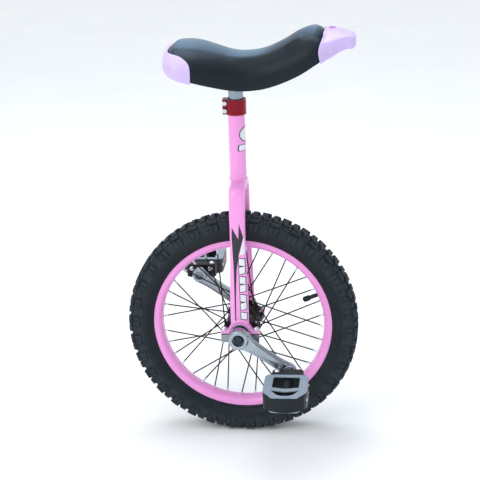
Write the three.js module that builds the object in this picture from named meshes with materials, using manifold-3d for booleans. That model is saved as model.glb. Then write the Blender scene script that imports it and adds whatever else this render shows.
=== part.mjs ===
// A learner's unicycle with a 16 inch wheel, in millimetres. The tyre stands on z = 0 under the
// origin, +X is the front (the end of the saddle with the handle), -Y is the rider's right, +Z is up.
import * as THREE from "three";
import { mergeVertices } from "three/addons/utils/BufferGeometryUtils.js";
import Module from "manifold-3d";

const wasm = await Module();
wasm.setup();

// ---- Driving dimensions -------------------------------------------------------------------
const GAP = 0.3; // clearance between two pieces that touch
const SIDES = { right: -1, left: 1 }; // sign of y on each side of the wheel

const TYRE_RADIUS = 204;
const TYRE_HALF_WIDTH = 27;
const TYRE_STEPS = 48;
const RIM_RADIUS = 158.5;
const RIM_HALF_WIDTH = 15;
const RIM_STEPS = 48;
const RIM_WALL_RADIUS = 144.7; // middle of the wall that the spokes pull on
const TUBE_CENTRE = 175.5;
const TUBE_RADIUS = 18;

const SPOKES_PER_SIDE = 18;
const SPOKE_RADIUS = 1;
const SPOKE_ANGLE = (2 * Math.PI) / SPOKES_PER_SIDE;
const SPOKE_LEAN = 3 * SPOKE_ANGLE; // a spoke leaves the hub this far round from its rim hole
const FIRST_SPOKE = THREE.MathUtils.degToRad(6.8); // first rim hole on the right, above +X
const VALVE_ANGLE = FIRST_SPOKE + 0.75 * SPOKE_ANGLE; // midway between two rim holes
const RIM_HOLE_OFFSET = 1.5; // the rim's holes alternate this far to either side
const RIM_HOLE_RADIUS = 2.75;
const NIPPLE_RADIUS = 1.8;

const FLANGE_RADIUS = 31.4;
const FLANGE_Y = 30;
const FLANGE_THICKNESS = 2.6;
const ELBOW_OFFSET = 2.4; // from a flange's face to the bend of a spoke
const FLANGE_HOLE_CIRCLE = 29;
const AXLE_RADIUS = 8.5;
const BEARING_RADIUS = 17.5;
const BEARING_Y = 50;
const BEARING_WIDTH = 10;

const CRANK_LENGTH = 105;
const CRANK_ANGLE = THREE.MathUtils.degToRad(35); // right crank, below +X
const CRANK_INNER_Y = 60;
const CRANK_OUTER_Y = 86;
const SQUARE_HALF = 6.4; // half the flats of the axle's square ends

const PEDAL_INNER_Y = 92;
const PEDAL_OUTER_Y = 210;
const PEDAL_HALF_LENGTH = 37;
const PEDAL_HALF_THICKNESS = 14;

const NECK_RADIUS = 14.3;
const NECK_BORE = 13.05;
const NECK_BOTTOM = 452;
const NECK_TOP = 609.4;
const POST_RADIUS = 12.7;
const POST_BOTTOM = 470;
const POST_PLATE_Z = 646; // top of the plate that bolts to the saddle
const CLAMP_BOTTOM = 584;
const CLAMP_TOP = 610;
const CLAMP_BOLT_X = -18;

const PAN_HEIGHT = 20; // from the saddle's lower edge to the top of its hard base
const COVER_THICKNESS = 1.6;
// Stations along the saddle: x, half width, height of the lower edge, height of the crest, and how
// far the shoulders lie below the crest.
const SADDLE_STATIONS = [
  [-104, 42, 679, 694, 4],
  [-101, 57, 671, 702, 4],
  [-93, 68, 662.5, 709, 4.5],
  [-80, 74, 657, 711, 5],
  [-60, 75, 651, 709, 4.5],
  [-34, 67, 643, 701.5, 4],
  [-5, 56, 635, 693, 3.5],
  [20, 51, 632.5, 691, 3.5],
  [50, 51, 635.5, 695, 3.5],
  [80, 54, 645, 708, 4.5],
  [110, 58, 659, 726.5, 6],
  [134, 58, 674, 734, 7],
  [150, 50, 684, 727, 7],
  [160, 36, 692, 717.5, 5],
];
// Stations along the handle: x, half width, height of the underside, of the edges and of the ridge.
const HANDLE_STATIONS = [
  [148, 50, 681, 713, 728],
  [160, 46, 686, 714.5, 728],
  [172, 39, 692, 716.5, 727],
  [185, 32, 697, 718, 722.5],
  [195, 27, 697, 716.5, 718.5],
  [201, 21, 701, 710.5, 712],
];
const HANDLE_WALL = 3.5;

// ---- Colours and finishes -----------------------------------------------------------------
const finish = (color, roughness, metalness) =>
  new THREE.MeshStandardMaterial({ color, roughness, metalness });
const pinkPaint = finish(0xf2a5e6, 0.25, 0);
const lilacPlastic = finish(0xdcc8f6, 0.4, 0);
const tyreRubber = finish(0x22272b, 0.75, 0);
const blackRubber = finish(0x1b1d20, 0.6, 0);
const blackPlastic = finish(0x1f2225, 0.45, 0);
const blackPaint = finish(0x15161a, 0.3, 0);
const blackSteel = finish(0x2b2622, 0.35, 0.9);
const brightSteel = finish(0xc9cdd1, 0.25, 1);
const castAlloy = finish(0xa9b3bb, 0.35, 0.9);
const zincSteel = finish(0x9fa4a8, 0.45, 0.9);
const redAlloy = finish(0x9c1c2e, 0.3, 0.8);
const amberPlastic = finish(0xc2601a, 0.2, 0);
const saddleVinyl = finish(0x262c33, 0.5, 0);
const foamGrey = finish(0x6c6f73, 0.95, 0);

// ---- Solids -------------------------------------------------------------------------------
// A closed geometry as a solid with its faces pointing out.
function solid(geometry) {
  const loose = geometry.index ? geometry.toNonIndexed() : geometry;
  const bare = new THREE.BufferGeometry();
  bare.setAttribute("position", loose.getAttribute("position"));
  const merged = mergeVertices(bare, 1e-3);
  const vertProperties = new Float32Array(merged.attributes.position.array);
  const triVerts = new Uint32Array(merged.index.array);
  const made = new wasm.Manifold(new wasm.Mesh({ numProp: 3, vertProperties, triVerts }));
  if (made.volume() >= 0) return made;
  for (let i = 0; i < triVerts.length; i += 3) {
    [triVerts[i + 1], triVerts[i + 2]] = [triVerts[i + 2], triVerts[i + 1]];
  }
  return new wasm.Manifold(new wasm.Mesh({ numProp: 3, vertProperties, triVerts }));
}

const join = (...solids) => solids.reduce((whole, piece) => whole.add(piece));
const cut = (body, ...tools) => tools.reduce((whole, tool) => whole.subtract(tool), body);

// A named mesh of a solid.
function meshOf(name, body, material) {
  const { vertProperties, triVerts } = body.getMesh();
  const geometry = new THREE.BufferGeometry();
  geometry.setAttribute("position", new THREE.BufferAttribute(vertProperties, 3));
  geometry.setIndex(new THREE.BufferAttribute(triVerts, 1));
  geometry.computeVertexNormals();
  const mesh = new THREE.Mesh(geometry, material);
  mesh.name = name;
  return mesh;
}

// A solid turned about the y axis from a closed profile of [radius, y] points.
function turned(profile, steps) {
  const points = profile.map(([radius, y]) => new THREE.Vector2(radius, y));
  return solid(new THREE.LatheGeometry([...points, points[0]], steps));
}

// The same about an upright axis at x, y: the profile holds [radius, z] points.
function upright(profile, steps, x = 0, y = 0) {
  const points = profile.map(([radius, z]) => new THREE.Vector2(radius, z));
  const geometry = new THREE.LatheGeometry([...points, points[0]], steps);
  return solid(geometry.rotateX(Math.PI / 2).translate(x, y, 0));
}

// A solid through rings of points, each ring with the same number of points, closed at both ends.
function loft(rings) {
  const count = rings[0].length;
  const positions = rings.flat();
  const faces = [];
  for (let ring = 0; ring + 1 < rings.length; ring++) {
    for (let i = 0; i < count; i++) {
      const a = ring * count + i;
      const b = ring * count + ((i + 1) % count);
      faces.push(a, b, a + count, b, b + count, a + count);
    }
  }
  for (const [ring, flip] of [[0, true], [rings.length - 1, false]]) {
    const centre = new THREE.Vector3();
    rings[ring].forEach((point) => centre.addScaledVector(point, 1 / count));
    positions.push(centre);
    for (let i = 0; i < count; i++) {
      const a = ring * count + i;
      const b = ring * count + ((i + 1) % count);
      faces.push(positions.length - 1, flip ? b : a, flip ? a : b);
    }
  }
  const geometry = new THREE.BufferGeometry().setFromPoints(positions);
  return solid(geometry.setIndex(faces));
}

// A round bar through [point, radius] stations.
function bar(stations, sides) {
  const rings = stations.map(([point, radius], i) => {
    const before = stations[Math.max(i - 1, 0)][0];
    const after = stations[Math.min(i + 1, stations.length - 1)][0];
    const along = after.clone().sub(before).normalize();
    const across = new THREE.Vector3(0, 1, 0).cross(along);
    if (across.length() < 0.3) across.set(1, 0, 0).cross(along);
    across.normalize();
    const other = along.clone().cross(across);
    return Array.from({ length: sides }, (_, side) => {
      const angle = (2 * Math.PI * side) / sides;
      const offset = across.clone().multiplyScalar(radius * Math.cos(angle));
      return offset.addScaledVector(other, radius * Math.sin(angle)).add(point);
    });
  });
  return loft(rings);
}

// A plate with an outline of [x, z] points, from one y to another.
function slabXZ(outline, fromY, toY) {
  const shape = new THREE.Shape(outline.map(([x, z]) => new THREE.Vector2(x, z)));
  const depth = Math.abs(toY - fromY);
  const geometry = new THREE.ExtrudeGeometry(shape, { depth, bevelEnabled: false });
  return solid(geometry.rotateX(Math.PI / 2).translate(0, Math.max(fromY, toY), 0));
}

// A plate with an outline of [x, y] points, from one z to another.
function slabXY(outline, fromZ, toZ) {
  const shape = new THREE.Shape(outline.map(([x, y]) => new THREE.Vector2(x, y)));
  const depth = toZ - fromZ;
  const geometry = new THREE.ExtrudeGeometry(shape, { depth, bevelEnabled: false });
  return solid(geometry.translate(0, 0, fromZ));
}

function block(x0, x1, y0, y1, z0, z1) {
  const geometry = new THREE.BoxGeometry(x1 - x0, Math.abs(y1 - y0), z1 - z0);
  return solid(geometry.translate((x0 + x1) / 2, (y0 + y1) / 2, (z0 + z1) / 2));
}

// Points [radius, angle] turned into a vector in the wheel's plane at some y.
const inWheel = (radius, angle, y) =>
  new THREE.Vector3(radius * Math.cos(angle), y, radius * Math.sin(angle));

// An arc of [x, z] points about the origin, from one angle to another.
function arc(radius, from, to, steps) {
  return Array.from({ length: steps + 1 }, (_, i) => {
    const angle = from + ((to - from) * i) / steps;
    return [radius * Math.cos(angle), radius * Math.sin(angle)];
  });
}

// ---- Tyre, tube and rim, about the wheel's centre ------------------------------------------
// Half a profile with y > 0, and its mirror image, as one closed profile.
const mirrored = (half) => [...half, ...half.map(([radius, y]) => [radius, -y]).reverse()];

function tyre() {
  const w = TYRE_HALF_WIDTH;
  const crown = TYRE_RADIUS;
  const inside = [[crown - 8, 0.35 * w], [192, 0.76 * w], [174, 0.84 * w], [158, 9.4]];
  const bead = [[152.2, 8.8], [152.2, 12.3], [159, 12.5]];
  const outside = [[167, 0.82 * w], [183, w], [196, 0.9 * w], [crown, 0.34 * w]];
  return turned(mirrored([...inside, ...bead, ...outside]), TYRE_STEPS);
}

const valveAt = (radius) => inWheel(radius, VALVE_ANGLE, 0);
const VALVE_SIDES = 8;

function innerTube() {
  const ring = (radius) => {
    const geometry = new THREE.TorusGeometry(TUBE_CENTRE, radius, 7, 32);
    return solid(geometry.rotateX(Math.PI / 2));
  };
  const stem = bar([[valveAt(119), 3.9], [valveAt(160), 3.9]], VALVE_SIDES);
  const bore = bar([[valveAt(118), 1.5], [valveAt(170), 1.5]], 6);
  return cut(join(ring(TUBE_RADIUS), stem), ring(TUBE_RADIUS - 1.8), bore);
}

function valveCap() {
  const outer = bar([[valveAt(115.5), 3.2], [valveAt(117), 5], [valveAt(128), 5]], VALVE_SIDES);
  return cut(outer, bar([[valveAt(118.4), 4.35], [valveAt(130), 4.35]], VALVE_SIDES));
}

function rimHoleTools() {
  const tools = [];
  for (let hole = 0; hole < 2 * SPOKES_PER_SIDE; hole++) {
    const y = hole % 2 ? RIM_HOLE_OFFSET : -RIM_HOLE_OFFSET;
    const angle = FIRST_SPOKE + (hole * SPOKE_ANGLE) / 2;
    const at = (radius) => inWheel(radius, angle, y);
    tools.push(bar([[at(138), RIM_HOLE_RADIUS], [at(149), RIM_HOLE_RADIUS]], 6));
  }
  return tools;
}

function rim() {
  const bed = [[143.4, 5], [145.4, 10.5]];
  const outside = [...bed, [150.5, RIM_HALF_WIDTH], [RIM_RADIUS, RIM_HALF_WIDTH]];
  const inside = [[RIM_RADIUS, 12.8], [151.6, 12.6], [151.5, 9.2], [146, 7.2]];
  const profile = mirrored([...outside, ...inside]);
  const valveHole = bar([[valveAt(138), 4.4], [valveAt(150), 4.4]], VALVE_SIDES);
  return cut(turned(profile, RIM_STEPS), valveHole, ...rimHoleTools());
}

function rimTape() {
  const band = turned([[149.6, -7.6], [150.6, -7.6], [150.6, 7.6], [149.6, 7.6]], RIM_STEPS);
  return cut(band, bar([[valveAt(148), 4.4], [valveAt(152), 4.4]], VALVE_SIDES));
}

// ---- Spokes and hub -----------------------------------------------------------------------
// One spoke, head to nipple. It bends where it crosses its partner, and they touch there.
function spoke(side, rimAngle, hubAngle, headSide, crossing) {
  const face = headSide * (FLANGE_THICKNESS / 2);
  const atHub = (beyond) => inWheel(FLANGE_HOLE_CIRCLE, hubAngle, side * FLANGE_Y + beyond);
  const throughRim = inWheel(RIM_WALL_RADIUS, rimAngle, side * RIM_HOLE_OFFSET);
  const toRim = throughRim.clone().sub(crossing).normalize();
  const onShaft = (beyond) => throughRim.clone().addScaledVector(toRim, beyond);
  return bar([
    [atHub(face + headSide * 1.6), 1.9],
    [atHub(face + headSide * 0.35), SPOKE_RADIUS],
    [atHub(-face - headSide * ELBOW_OFFSET), SPOKE_RADIUS],
    [crossing, SPOKE_RADIUS],
    [onShaft(-9), SPOKE_RADIUS],
    [onShaft(-8.9), NIPPLE_RADIUS],
    [onShaft(2.3), NIPPLE_RADIUS],
    [onShaft(2.4), 3.1],
    [onShaft(3.6), 3.1],
  ], 5);
}

// Two spokes that cross outermost on one side of the wheel.
function spokePair(side, index) {
  const rimA = FIRST_SPOKE + (side > 0 ? SPOKE_ANGLE / 2 : 0) + 2 * index * SPOKE_ANGLE;
  const rimB = rimA - SPOKE_ANGLE;
  const middle = (rimA + rimB) / 2;
  // Straight spokes would pass the middle angle this share of the way out.
  const hub = inWheel(FLANGE_HOLE_CIRCLE, rimA - SPOKE_LEAN - middle, 0);
  const end = inWheel(RIM_WALL_RADIUS, rimA - middle, 0);
  const share = hub.z / (hub.z - end.z);
  const radius = hub.x + share * (end.x - hub.x);
  const y = side * (FLANGE_Y + share * (RIM_HOLE_OFFSET - FLANGE_Y));
  const crossing = (beyond) => inWheel(radius, middle, y + beyond * side * SPOKE_RADIUS);
  const inner = spoke(side, rimA, rimA - SPOKE_LEAN, side, crossing(-0.8));
  const outer = spoke(side, rimB, rimB + SPOKE_LEAN, -side, crossing(0.8));
  return inner.add(outer);
}

function hubShell() {
  const edge = FLANGE_Y + FLANGE_THICKNESS / 2;
  const root = FLANGE_Y - FLANGE_THICKNESS / 2;
  const bore = AXLE_RADIUS + GAP;
  const barrel = [[bore, 43], [15, 43], [17, edge]];
  const rim = [[FLANGE_RADIUS, edge - 0.4], [FLANGE_RADIUS, root + 0.4]];
  const flange = [[30, edge], ...rim, [30, root], [20, root]];
  const body = turned(mirrored([...barrel, ...flange, [14, root - 6]]), 24);
  const tools = [];
  for (const side of Object.values(SIDES)) {
    for (let hole = 0; hole < SPOKES_PER_SIDE; hole++) {
      const angle = FIRST_SPOKE + (hole + (side > 0 ? 0.5 : 0)) * SPOKE_ANGLE;
      const at = (y) => inWheel(FLANGE_HOLE_CIRCLE, angle, side * y);
      tools.push(bar([[at(root - 1), 1.55], [at(edge + 1), 1.55]], 5));
    }
  }
  return cut(body, ...tools);
}

// The axle's ends are square, and each is bored for its crank bolt.
function axle() {
  const shaft = turned([[0, -57], [AXLE_RADIUS, -57], [AXLE_RADIUS, 57], [0, 57]], 20);
  const ends = Object.values(SIDES).map((side) =>
    block(-SQUARE_HALF, SQUARE_HALF, side * 56, side * 74.5, -SQUARE_HALF, SQUARE_HALF));
  const bores = Object.values(SIDES).map((side) => alongY(0, 0, 4.3, side * 58, side * 76, 8));
  return cut(join(shaft, ...ends), ...bores);
}

function bearing(side) {
  const half = BEARING_WIDTH / 2;
  const bore = AXLE_RADIUS + GAP;
  const edge = 0.8;
  const outer = [[BEARING_RADIUS, half - edge], [BEARING_RADIUS - edge, half]];
  const profile = mirrored([...outer, [bore, half]]).map(([radius, y]) => [radius, y + side * BEARING_Y]);
  return turned(profile, 24);
}

// ---- Cranks and pedals, about the wheel's centre ---------------------------------------------
// A crank points along +X on the right side (-Y). The other side is its mirror image.
function crank(side) {
  const bossInner = [[17.5, -68], [15.5, -CRANK_INNER_Y], [0, -CRANK_INNER_Y]];
  const boss = turned([[0, -CRANK_OUTER_Y], [17.5, -CRANK_OUTER_Y], ...bossInner], 28);
  const eye = (radius, from, to) => {
    const geometry = new THREE.CylinderGeometry(radius, radius, to - from, 20);
    return solid(geometry.translate(CRANK_LENGTH, -(from + to) / 2, 0));
  };
  const upperEdge = [[6, 17], [22, 12.6], [60, 10], [CRANK_LENGTH, 12.4]];
  const lowerEdge = upperEdge.map(([x, z]) => [x, -z]).reverse();
  const arm = slabXZ([...upperEdge, ...lowerEdge], -69, -81);
  const recess = turned([[0, -90], [10.4, -90], [10.4, -77], [0, -77]], 20);
  const square = SQUARE_HALF + GAP;
  const socket = block(-square, square, -80, -50, -square, square);
  const body = cut(join(boss, arm, eye(12.6, 67, 81)), recess, socket, eye(7.3, 60, 90));
  return body.scale([1, -side, 1]);
}

function crankBolt(side) {
  const shank = turned([[0, -60], [0, -77.3], [3.9, -77.3], [3.9, -60]], 10);
  const head = turned([[0, -77.3], [0, -83], [8, -83], [8, -77.3]], 6);
  return join(shank, head).scale([1, -side, 1]);
}

// Pedal pieces are made about the spindle's axis.
function pedalSpindle(side) {
  const thread = [[0, -68], [6.9, -68], [6.9, -81.3]];
  const collar = [[9, -81.3], [9, -88], [6.5, -90], [5, -91.5]];
  return turned([...thread, ...collar, [5, -198], [0, -198]], 16).scale([1, -side, 1]);
}

function pedalBody(side) {
  const l = PEDAL_HALF_LENGTH;
  const t = PEDAL_HALF_THICKNESS;
  const innerEnd = [[22, PEDAL_INNER_Y], [27, 97], [28, 112], [l - 3, 119]];
  const outerEnd = [[l, 126], [l, 190], [l - 4, 199], [14, 208], [5, PEDAL_OUTER_Y]];
  const around = (half) => [...half, ...half.map(([x, y]) => [-x, y]).reverse()];
  const outline = around([...innerEnd, ...outerEnd]);
  const bigWindow = [[-22, 136], [22, 136], [22, 176], [0, 179], [-22, 176]];
  const lens = around([[24, 187], [12, 200], [5, 203]]).concat([[-12, 185], [0, 184], [12, 185]]);
  const innerRelief = [[-60, 80], [60, 80], [60, 117], [-60, 117]];
  const barrel = turned([[0, PEDAL_INNER_Y], [10, PEDAL_INNER_Y], [9, 204], [0, 204]], 16);
  const bore = turned([[0, 80], [5.4, 80], [5.4, 200], [0, 200]], 16);
  const pocket = (sign) => {
    const [a, b] = [sign * (l - 3.5), sign * (l + 5)];
    return block(Math.min(a, b), Math.max(a, b), 131, 179, -9.5, 9.5);
  };
  const frame = cut(
    slabXY(outline, -t, t),
    slabXY(bigWindow, -t - 1, t + 1),
    slabXY(lens, -t - 1, t + 1),
    slabXY(innerRelief, t - 3, t + 1),
    slabXY(innerRelief, -t - 1, 3 - t),
    pocket(1),
    pocket(-1),
  );
  return cut(frame.add(barrel), bore).scale([1, side, 1]);
}

function reflector(side, sign) {
  const l = PEDAL_HALF_LENGTH;
  const [a, b] = [sign * (l - 3.2), sign * (l - 0.4)];
  return block(Math.min(a, b), Math.max(a, b), side * 131.4, side * 178.6, -9.1, 9.1);
}

// ---- Frame --------------------------------------------------------------------------------
// Leg stations on the +Y side: height, distance from the middle, half width in x, half thickness.
const LEG_STATIONS = [
  [462, 9, 13, 9],
  [460, 22, 13.4, 9],
  [453, 31, 13.6, 9],
  [441, 36.6, 13.6, 8.4],
  [420, 38.6, 13.6, 7.6],
  [350, 43.2, 13.6, 7.4],
  [300, 46.3, 15, 7.3],
  [255, 49.2, 16, 7.2],
  [221, BEARING_Y, 16, 6.8],
];

function leg(side) {
  const sides = 12;
  const centre = ([z, y]) => new THREE.Vector3(0, side * y, z);
  const rings = LEG_STATIONS.map((station, i) => {
    const [, , halfWidth, halfThickness] = station;
    const before = centre(LEG_STATIONS[Math.max(i - 1, 0)]);
    const after = centre(LEG_STATIONS[Math.min(i + 1, LEG_STATIONS.length - 1)]);
    const along = after.sub(before).normalize();
    const across = new THREE.Vector3(1, 0, 0).cross(along);
    return Array.from({ length: sides }, (_, corner) => {
      const angle = (2 * Math.PI * (corner + 0.5)) / sides;
      const point = centre(station).addScaledVector(across, halfThickness * Math.sin(angle));
      point.x = halfWidth * Math.cos(angle);
      return point;
    });
  });
  return loft(rings);
}

// The half round seat over a bearing, welded to the end of its leg, with an ear at each side.
const EAR_X = 34.5;
const EAR_BOLT_X = 28;
const HOLDER_HALF_WIDTH = 7;

function holder(side) {
  const bore = arc(BEARING_RADIUS + GAP, 0.03, Math.PI - 0.03, 16).reverse();
  const crest = arc(22, 0.9, Math.PI - 0.9, 8);
  const ear = [[EAR_X, 0.6], [EAR_X, 5.4], [22.6, 6.2]];
  const outline = [...ear, ...crest, ...ear.map(([x, z]) => [-x, z]).reverse()];
  const y = side * BEARING_Y;
  const body = slabXZ([...outline, ...bore], y - HOLDER_HALF_WIDTH, y + HOLDER_HALF_WIDTH);
  return cut(body, ...earHoles(side)).translate([0, 0, TYRE_RADIUS]);
}

function earHoles(side) {
  return [-1, 1].map((end) =>
    upright([[0, -30], [3.3, -30], [3.3, 30], [0, 30]], 8, end * EAR_BOLT_X, side * BEARING_Y));
}

function forkFrame() {
  const rod = (radius, from, to) => upright([[0, from], [radius, from], [radius, to], [0, to]], 28);
  const tube = rod(NECK_RADIUS, NECK_BOTTOM, NECK_TOP);
  const channel = rod(NECK_BORE, 400, 640);
  const slot = block(-20, -5, -1.5, 1.5, 572, 640);
  const legs = Object.values(SIDES).map((side) => cut(leg(side), bearingClearance(side)));
  const holders = Object.values(SIDES).map(holder);
  return cut(join(tube, ...legs), channel, slot).add(join(...holders));
}

// Keeps a leg's end out of the bearing that its holder carries.
function bearingClearance(side) {
  const radius = BEARING_RADIUS + 2;
  const disc = turned([[0, -12], [radius, -12], [radius, 12], [0, 12]], 24);
  return disc.translate([0, side * BEARING_Y, TYRE_RADIUS]);
}

function bearingCap(side) {
  const bore = arc(BEARING_RADIUS + GAP, -0.03, 0.03 - Math.PI, 16).reverse();
  const bottom = arc(22, -0.75, 0.75 - Math.PI, 8);
  const ear = [[33, -0.6], [33, -12], [29, -15]];
  const outline = [...ear, ...bottom, ...ear.map(([x, z]) => [-x, z]).reverse()];
  const y = side * BEARING_Y;
  const body = slabXZ([...outline, ...bore], y - HOLDER_HALF_WIDTH, y + HOLDER_HALF_WIDTH);
  return cut(body, ...earHoles(side)).translate([0, 0, TYRE_RADIUS]);
}

function capBolt(side, end) {
  const x = end * EAR_BOLT_X;
  const y = side * BEARING_Y;
  const head = [[0, 6.7], [5.2, 6.7], [5.2, 8.8], [4, 10.8], [1.8, 11.8], [0, 12]];
  const shank = upright([[0, -18], [2.9, -18], [2.9, 8], [0, 8]], 8, x, y);
  return join(shank, upright(head, 10, x, y)).translate([0, 0, TYRE_RADIUS]);
}

// ---- Seat clamp and post --------------------------------------------------------------------
const CLAMP_BOLT_HEIGHTS = { upper: 603.5, lower: 590.5 };

function seatClamp() {
  const rod = (radius, from, to) => upright([[0, from], [radius, from], [radius, to], [0, to]], 32);
  const collar = rod(17.2, CLAMP_BOTTOM, CLAMP_TOP);
  const ears = block(-22.5, -12, -7.5, 7.5, CLAMP_BOTTOM, CLAMP_TOP);
  const bore = rod(NECK_RADIUS + GAP, 500, 700);
  const slot = block(-30, -10, -1.5, 1.5, 500, 700);
  const holes = Object.values(CLAMP_BOLT_HEIGHTS).flatMap((z) => [
    alongY(CLAMP_BOLT_X, z, 2.6, -20, 20, 8),
    alongY(CLAMP_BOLT_X, z, 4.7, -20, -7.5, 10),
  ]);
  return cut(join(collar, ears), bore, slot, ...holes);
}

// A round rod along y at some x and z.
function alongY(x, z, radius, fromY, toY, sides) {
  const at = (y) => new THREE.Vector3(x, y, z);
  return bar([[at(fromY), radius], [at(toY), radius]], sides);
}

function clampBolt(z) {
  const shank = alongY(CLAMP_BOLT_X, z, 2.2, -9, 9, 8);
  return shank.add(alongY(CLAMP_BOLT_X, z, 4.2, -11.6, -7.8, 10));
}

const PLATE_HALF_LENGTH = 34;
const PLATE_HALF_WIDTH = 26;
const PLATE_THICKNESS = 4;
const SADDLE_BOLTS = [-1, 1].flatMap((along) => [-1, 1].map((across) => [along * 26, across * 18]));

const SADDLE_BOLT_HOLE = 3.4;
const saddleBoltHoles = (top) => SADDLE_BOLTS.map(([x, y]) =>
  upright([[0, 600], [SADDLE_BOLT_HOLE, 600], [SADDLE_BOLT_HOLE, top], [0, top]], 8, x, y));

function seatPost() {
  const top = POST_PLATE_Z - PLATE_THICKNESS;
  const inner = POST_RADIUS - 1.5;
  const wall = [[inner, top + 1], [inner, POST_BOTTOM]];
  const tube = upright([[POST_RADIUS, POST_BOTTOM], [POST_RADIUS, top + 1], ...wall], 28);
  const [l, w, corner] = [PLATE_HALF_LENGTH, PLATE_HALF_WIDTH, 8];
  const rightEdge = [[-l, corner - w], [corner - l, -w], [l - corner, -w], [l, corner - w]];
  const leftEdge = rightEdge.map(([x, y]) => [x, -y]).reverse();
  const plate = slabXY([...rightEdge, ...leftEdge], top, POST_PLATE_Z);
  return cut(tube.add(plate), ...saddleBoltHoles(700));
}

// ---- Saddle -------------------------------------------------------------------------------
// A solid along the saddle's length. Each station's section grows by grow, its ends move with
// stretch, its lower edge rises by raise and drops again by drop. With panHeight, the solid is a
// straight sided one of that height, and of no more than half the height of the cushion's sides.
function saddleLoft({ grow = 0, stretch = 1, raise = 0, drop = 0, panHeight = null }) {
  const rings = SADDLE_STATIONS.map(([x, width, low, crest, shoulder]) => {
    const w = width + grow;
    const base = low + raise;
    const full = crest + grow - base;
    const foot = drop > 0 ? 0.94 : 0.96;
    const pan = () => [
      [0.95 * w, base - drop],
      [0.97 * w, base + Math.min(panHeight, 0.5 * (crest - low - shoulder))],
    ];
    const cushion = () => [
      [foot * w, base - drop],
      [w, base + 0.3 * full],
      [0.98 * w, base + 0.45 * full],
      [0.9 * w, base + 0.64 * full],
      [0.75 * w, base + 0.82 * full],
      [0.55 * w, base + full - shoulder],
    ];
    const half = panHeight ? pan() : cushion();
    const top = panHeight ? half[1][1] : base + full;
    const other = half.map(([y, z]) => [-y, z]).reverse();
    const section = [[0, base - drop], ...half, [0, top], ...other];
    return section.map(([y, z]) => new THREE.Vector3(x * stretch, y, z));
  });
  return loft(rings);
}

const LINING = COVER_THICKNESS + GAP;

// A pan with its rim down, and four bosses under it that stand on the post's plate.
function saddleBase() {
  const whole = saddleLoft({ grow: -LINING, stretch: 0.98, raise: 1, panHeight: PAN_HEIGHT });
  const inside = { grow: -LINING - 3, stretch: 0.95, raise: 1, drop: 9 };
  const pan = cut(whole, saddleLoft({ ...inside, panHeight: PAN_HEIGHT - 3 }));
  const foot = POST_PLATE_Z + GAP;
  const boss = [[0, foot], [7, foot], [7, foot + 40], [0, foot + 40]];
  const bosses = SADDLE_BOLTS.map(([x, y]) => upright(boss, 12, x, y).intersect(whole));
  return cut(join(pan, ...bosses), ...saddleBoltHoles(foot + 4.7));
}

function saddleFoam() {
  const inside = saddleLoft({ grow: -LINING - 0.6, stretch: 0.978, drop: 9 });
  const below = { grow: 20, stretch: 0.98, raise: 1 + GAP, drop: 40 };
  return cut(inside, saddleLoft({ ...below, panHeight: PAN_HEIGHT }));
}

function saddleCover() {
  return cut(saddleLoft({}), saddleLoft({ grow: -COVER_THICKNESS, stretch: 0.984, drop: 9 }));
}

// What a bumper has to leave free: the cushion, and everything under it.
const bumperClearance = () => saddleLoft({ grow: GAP, stretch: 1.003, drop: 20 });

function rearBumper() {
  const shell = saddleLoft({ grow: 2.6, stretch: 1.05, raise: -1.5 });
  const frontEdge = [[-66, 640], [-64, 668], [-68, 680], [-76, 689], [-90, 696]];
  const sideView = slabXZ([[-130, 640], ...frontEdge, [-130, 706]], -100, 100);
  return cut(shell.intersect(sideView), bumperClearance());
}

// The handle in front of the cushion: its outside, or its hollow with a wall all round.
function handleLoft(wall, drop) {
  const rings = HANDLE_STATIONS.map(([x, width, low, edge, ridge]) => {
    const w = width - wall;
    const half = [
      [0.92 * w, low - drop],
      [w, low + 5],
      [w, edge - wall - 4],
      [0.92 * w, edge - wall],
      [0.5 * w, ridge - wall - 0.25 * (ridge - edge)],
    ];
    const other = half.map(([y, z]) => [-y, z]).reverse();
    const section = [[0, low - drop], ...half, [0, ridge - wall], ...other];
    return section.map(([y, z]) => new THREE.Vector3(x - wall, y, z));
  });
  return loft(rings);
}

function frontBumper() {
  const shell = saddleLoft({ grow: 2.6, stretch: 1.02, raise: -1.5 });
  const edge = [[155, 760], [156, 731], [146, 715], [141.5, 700], [144, 684], [150, 670]];
  const skin = shell.intersect(slabXZ([...edge, [230, 670], [230, 760]], -100, 100));
  return cut(join(skin, handleLoft(0, 0)), handleLoft(HANDLE_WALL, 20), bumperClearance());
}

function saddleBolt([x, y]) {
  const seat = POST_PLATE_Z - PLATE_THICKNESS - GAP;
  const shank = upright([[0, seat - 2], [2.9, seat - 2], [2.9, 650.6], [0, 650.6]], 8, x, y);
  return shank.add(upright([[0, seat - 4.5], [6.2, seat - 4.5], [6.2, seat], [0, seat]], 6, x, y));
}

// ---- Assembly -----------------------------------------------------------------------------
const unicycle = new THREE.Group();
const wheel = new THREE.Group();
wheel.position.z = TYRE_RADIUS;

wheel.add(
  meshOf("tyre", tyre(), tyreRubber),
  meshOf("inner_tube", innerTube(), blackRubber),
  meshOf("valve_cap", valveCap(), blackPlastic),
  meshOf("rim", rim(), pinkPaint),
  meshOf("rim_tape", rimTape(), blackRubber),
  meshOf("hub_shell", hubShell(), blackPaint),
);
const axleMesh = meshOf("axle", axle(), zincSteel);
axleMesh.rotation.y = CRANK_ANGLE;
wheel.add(axleMesh);
unicycle.add(wheel);

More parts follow.
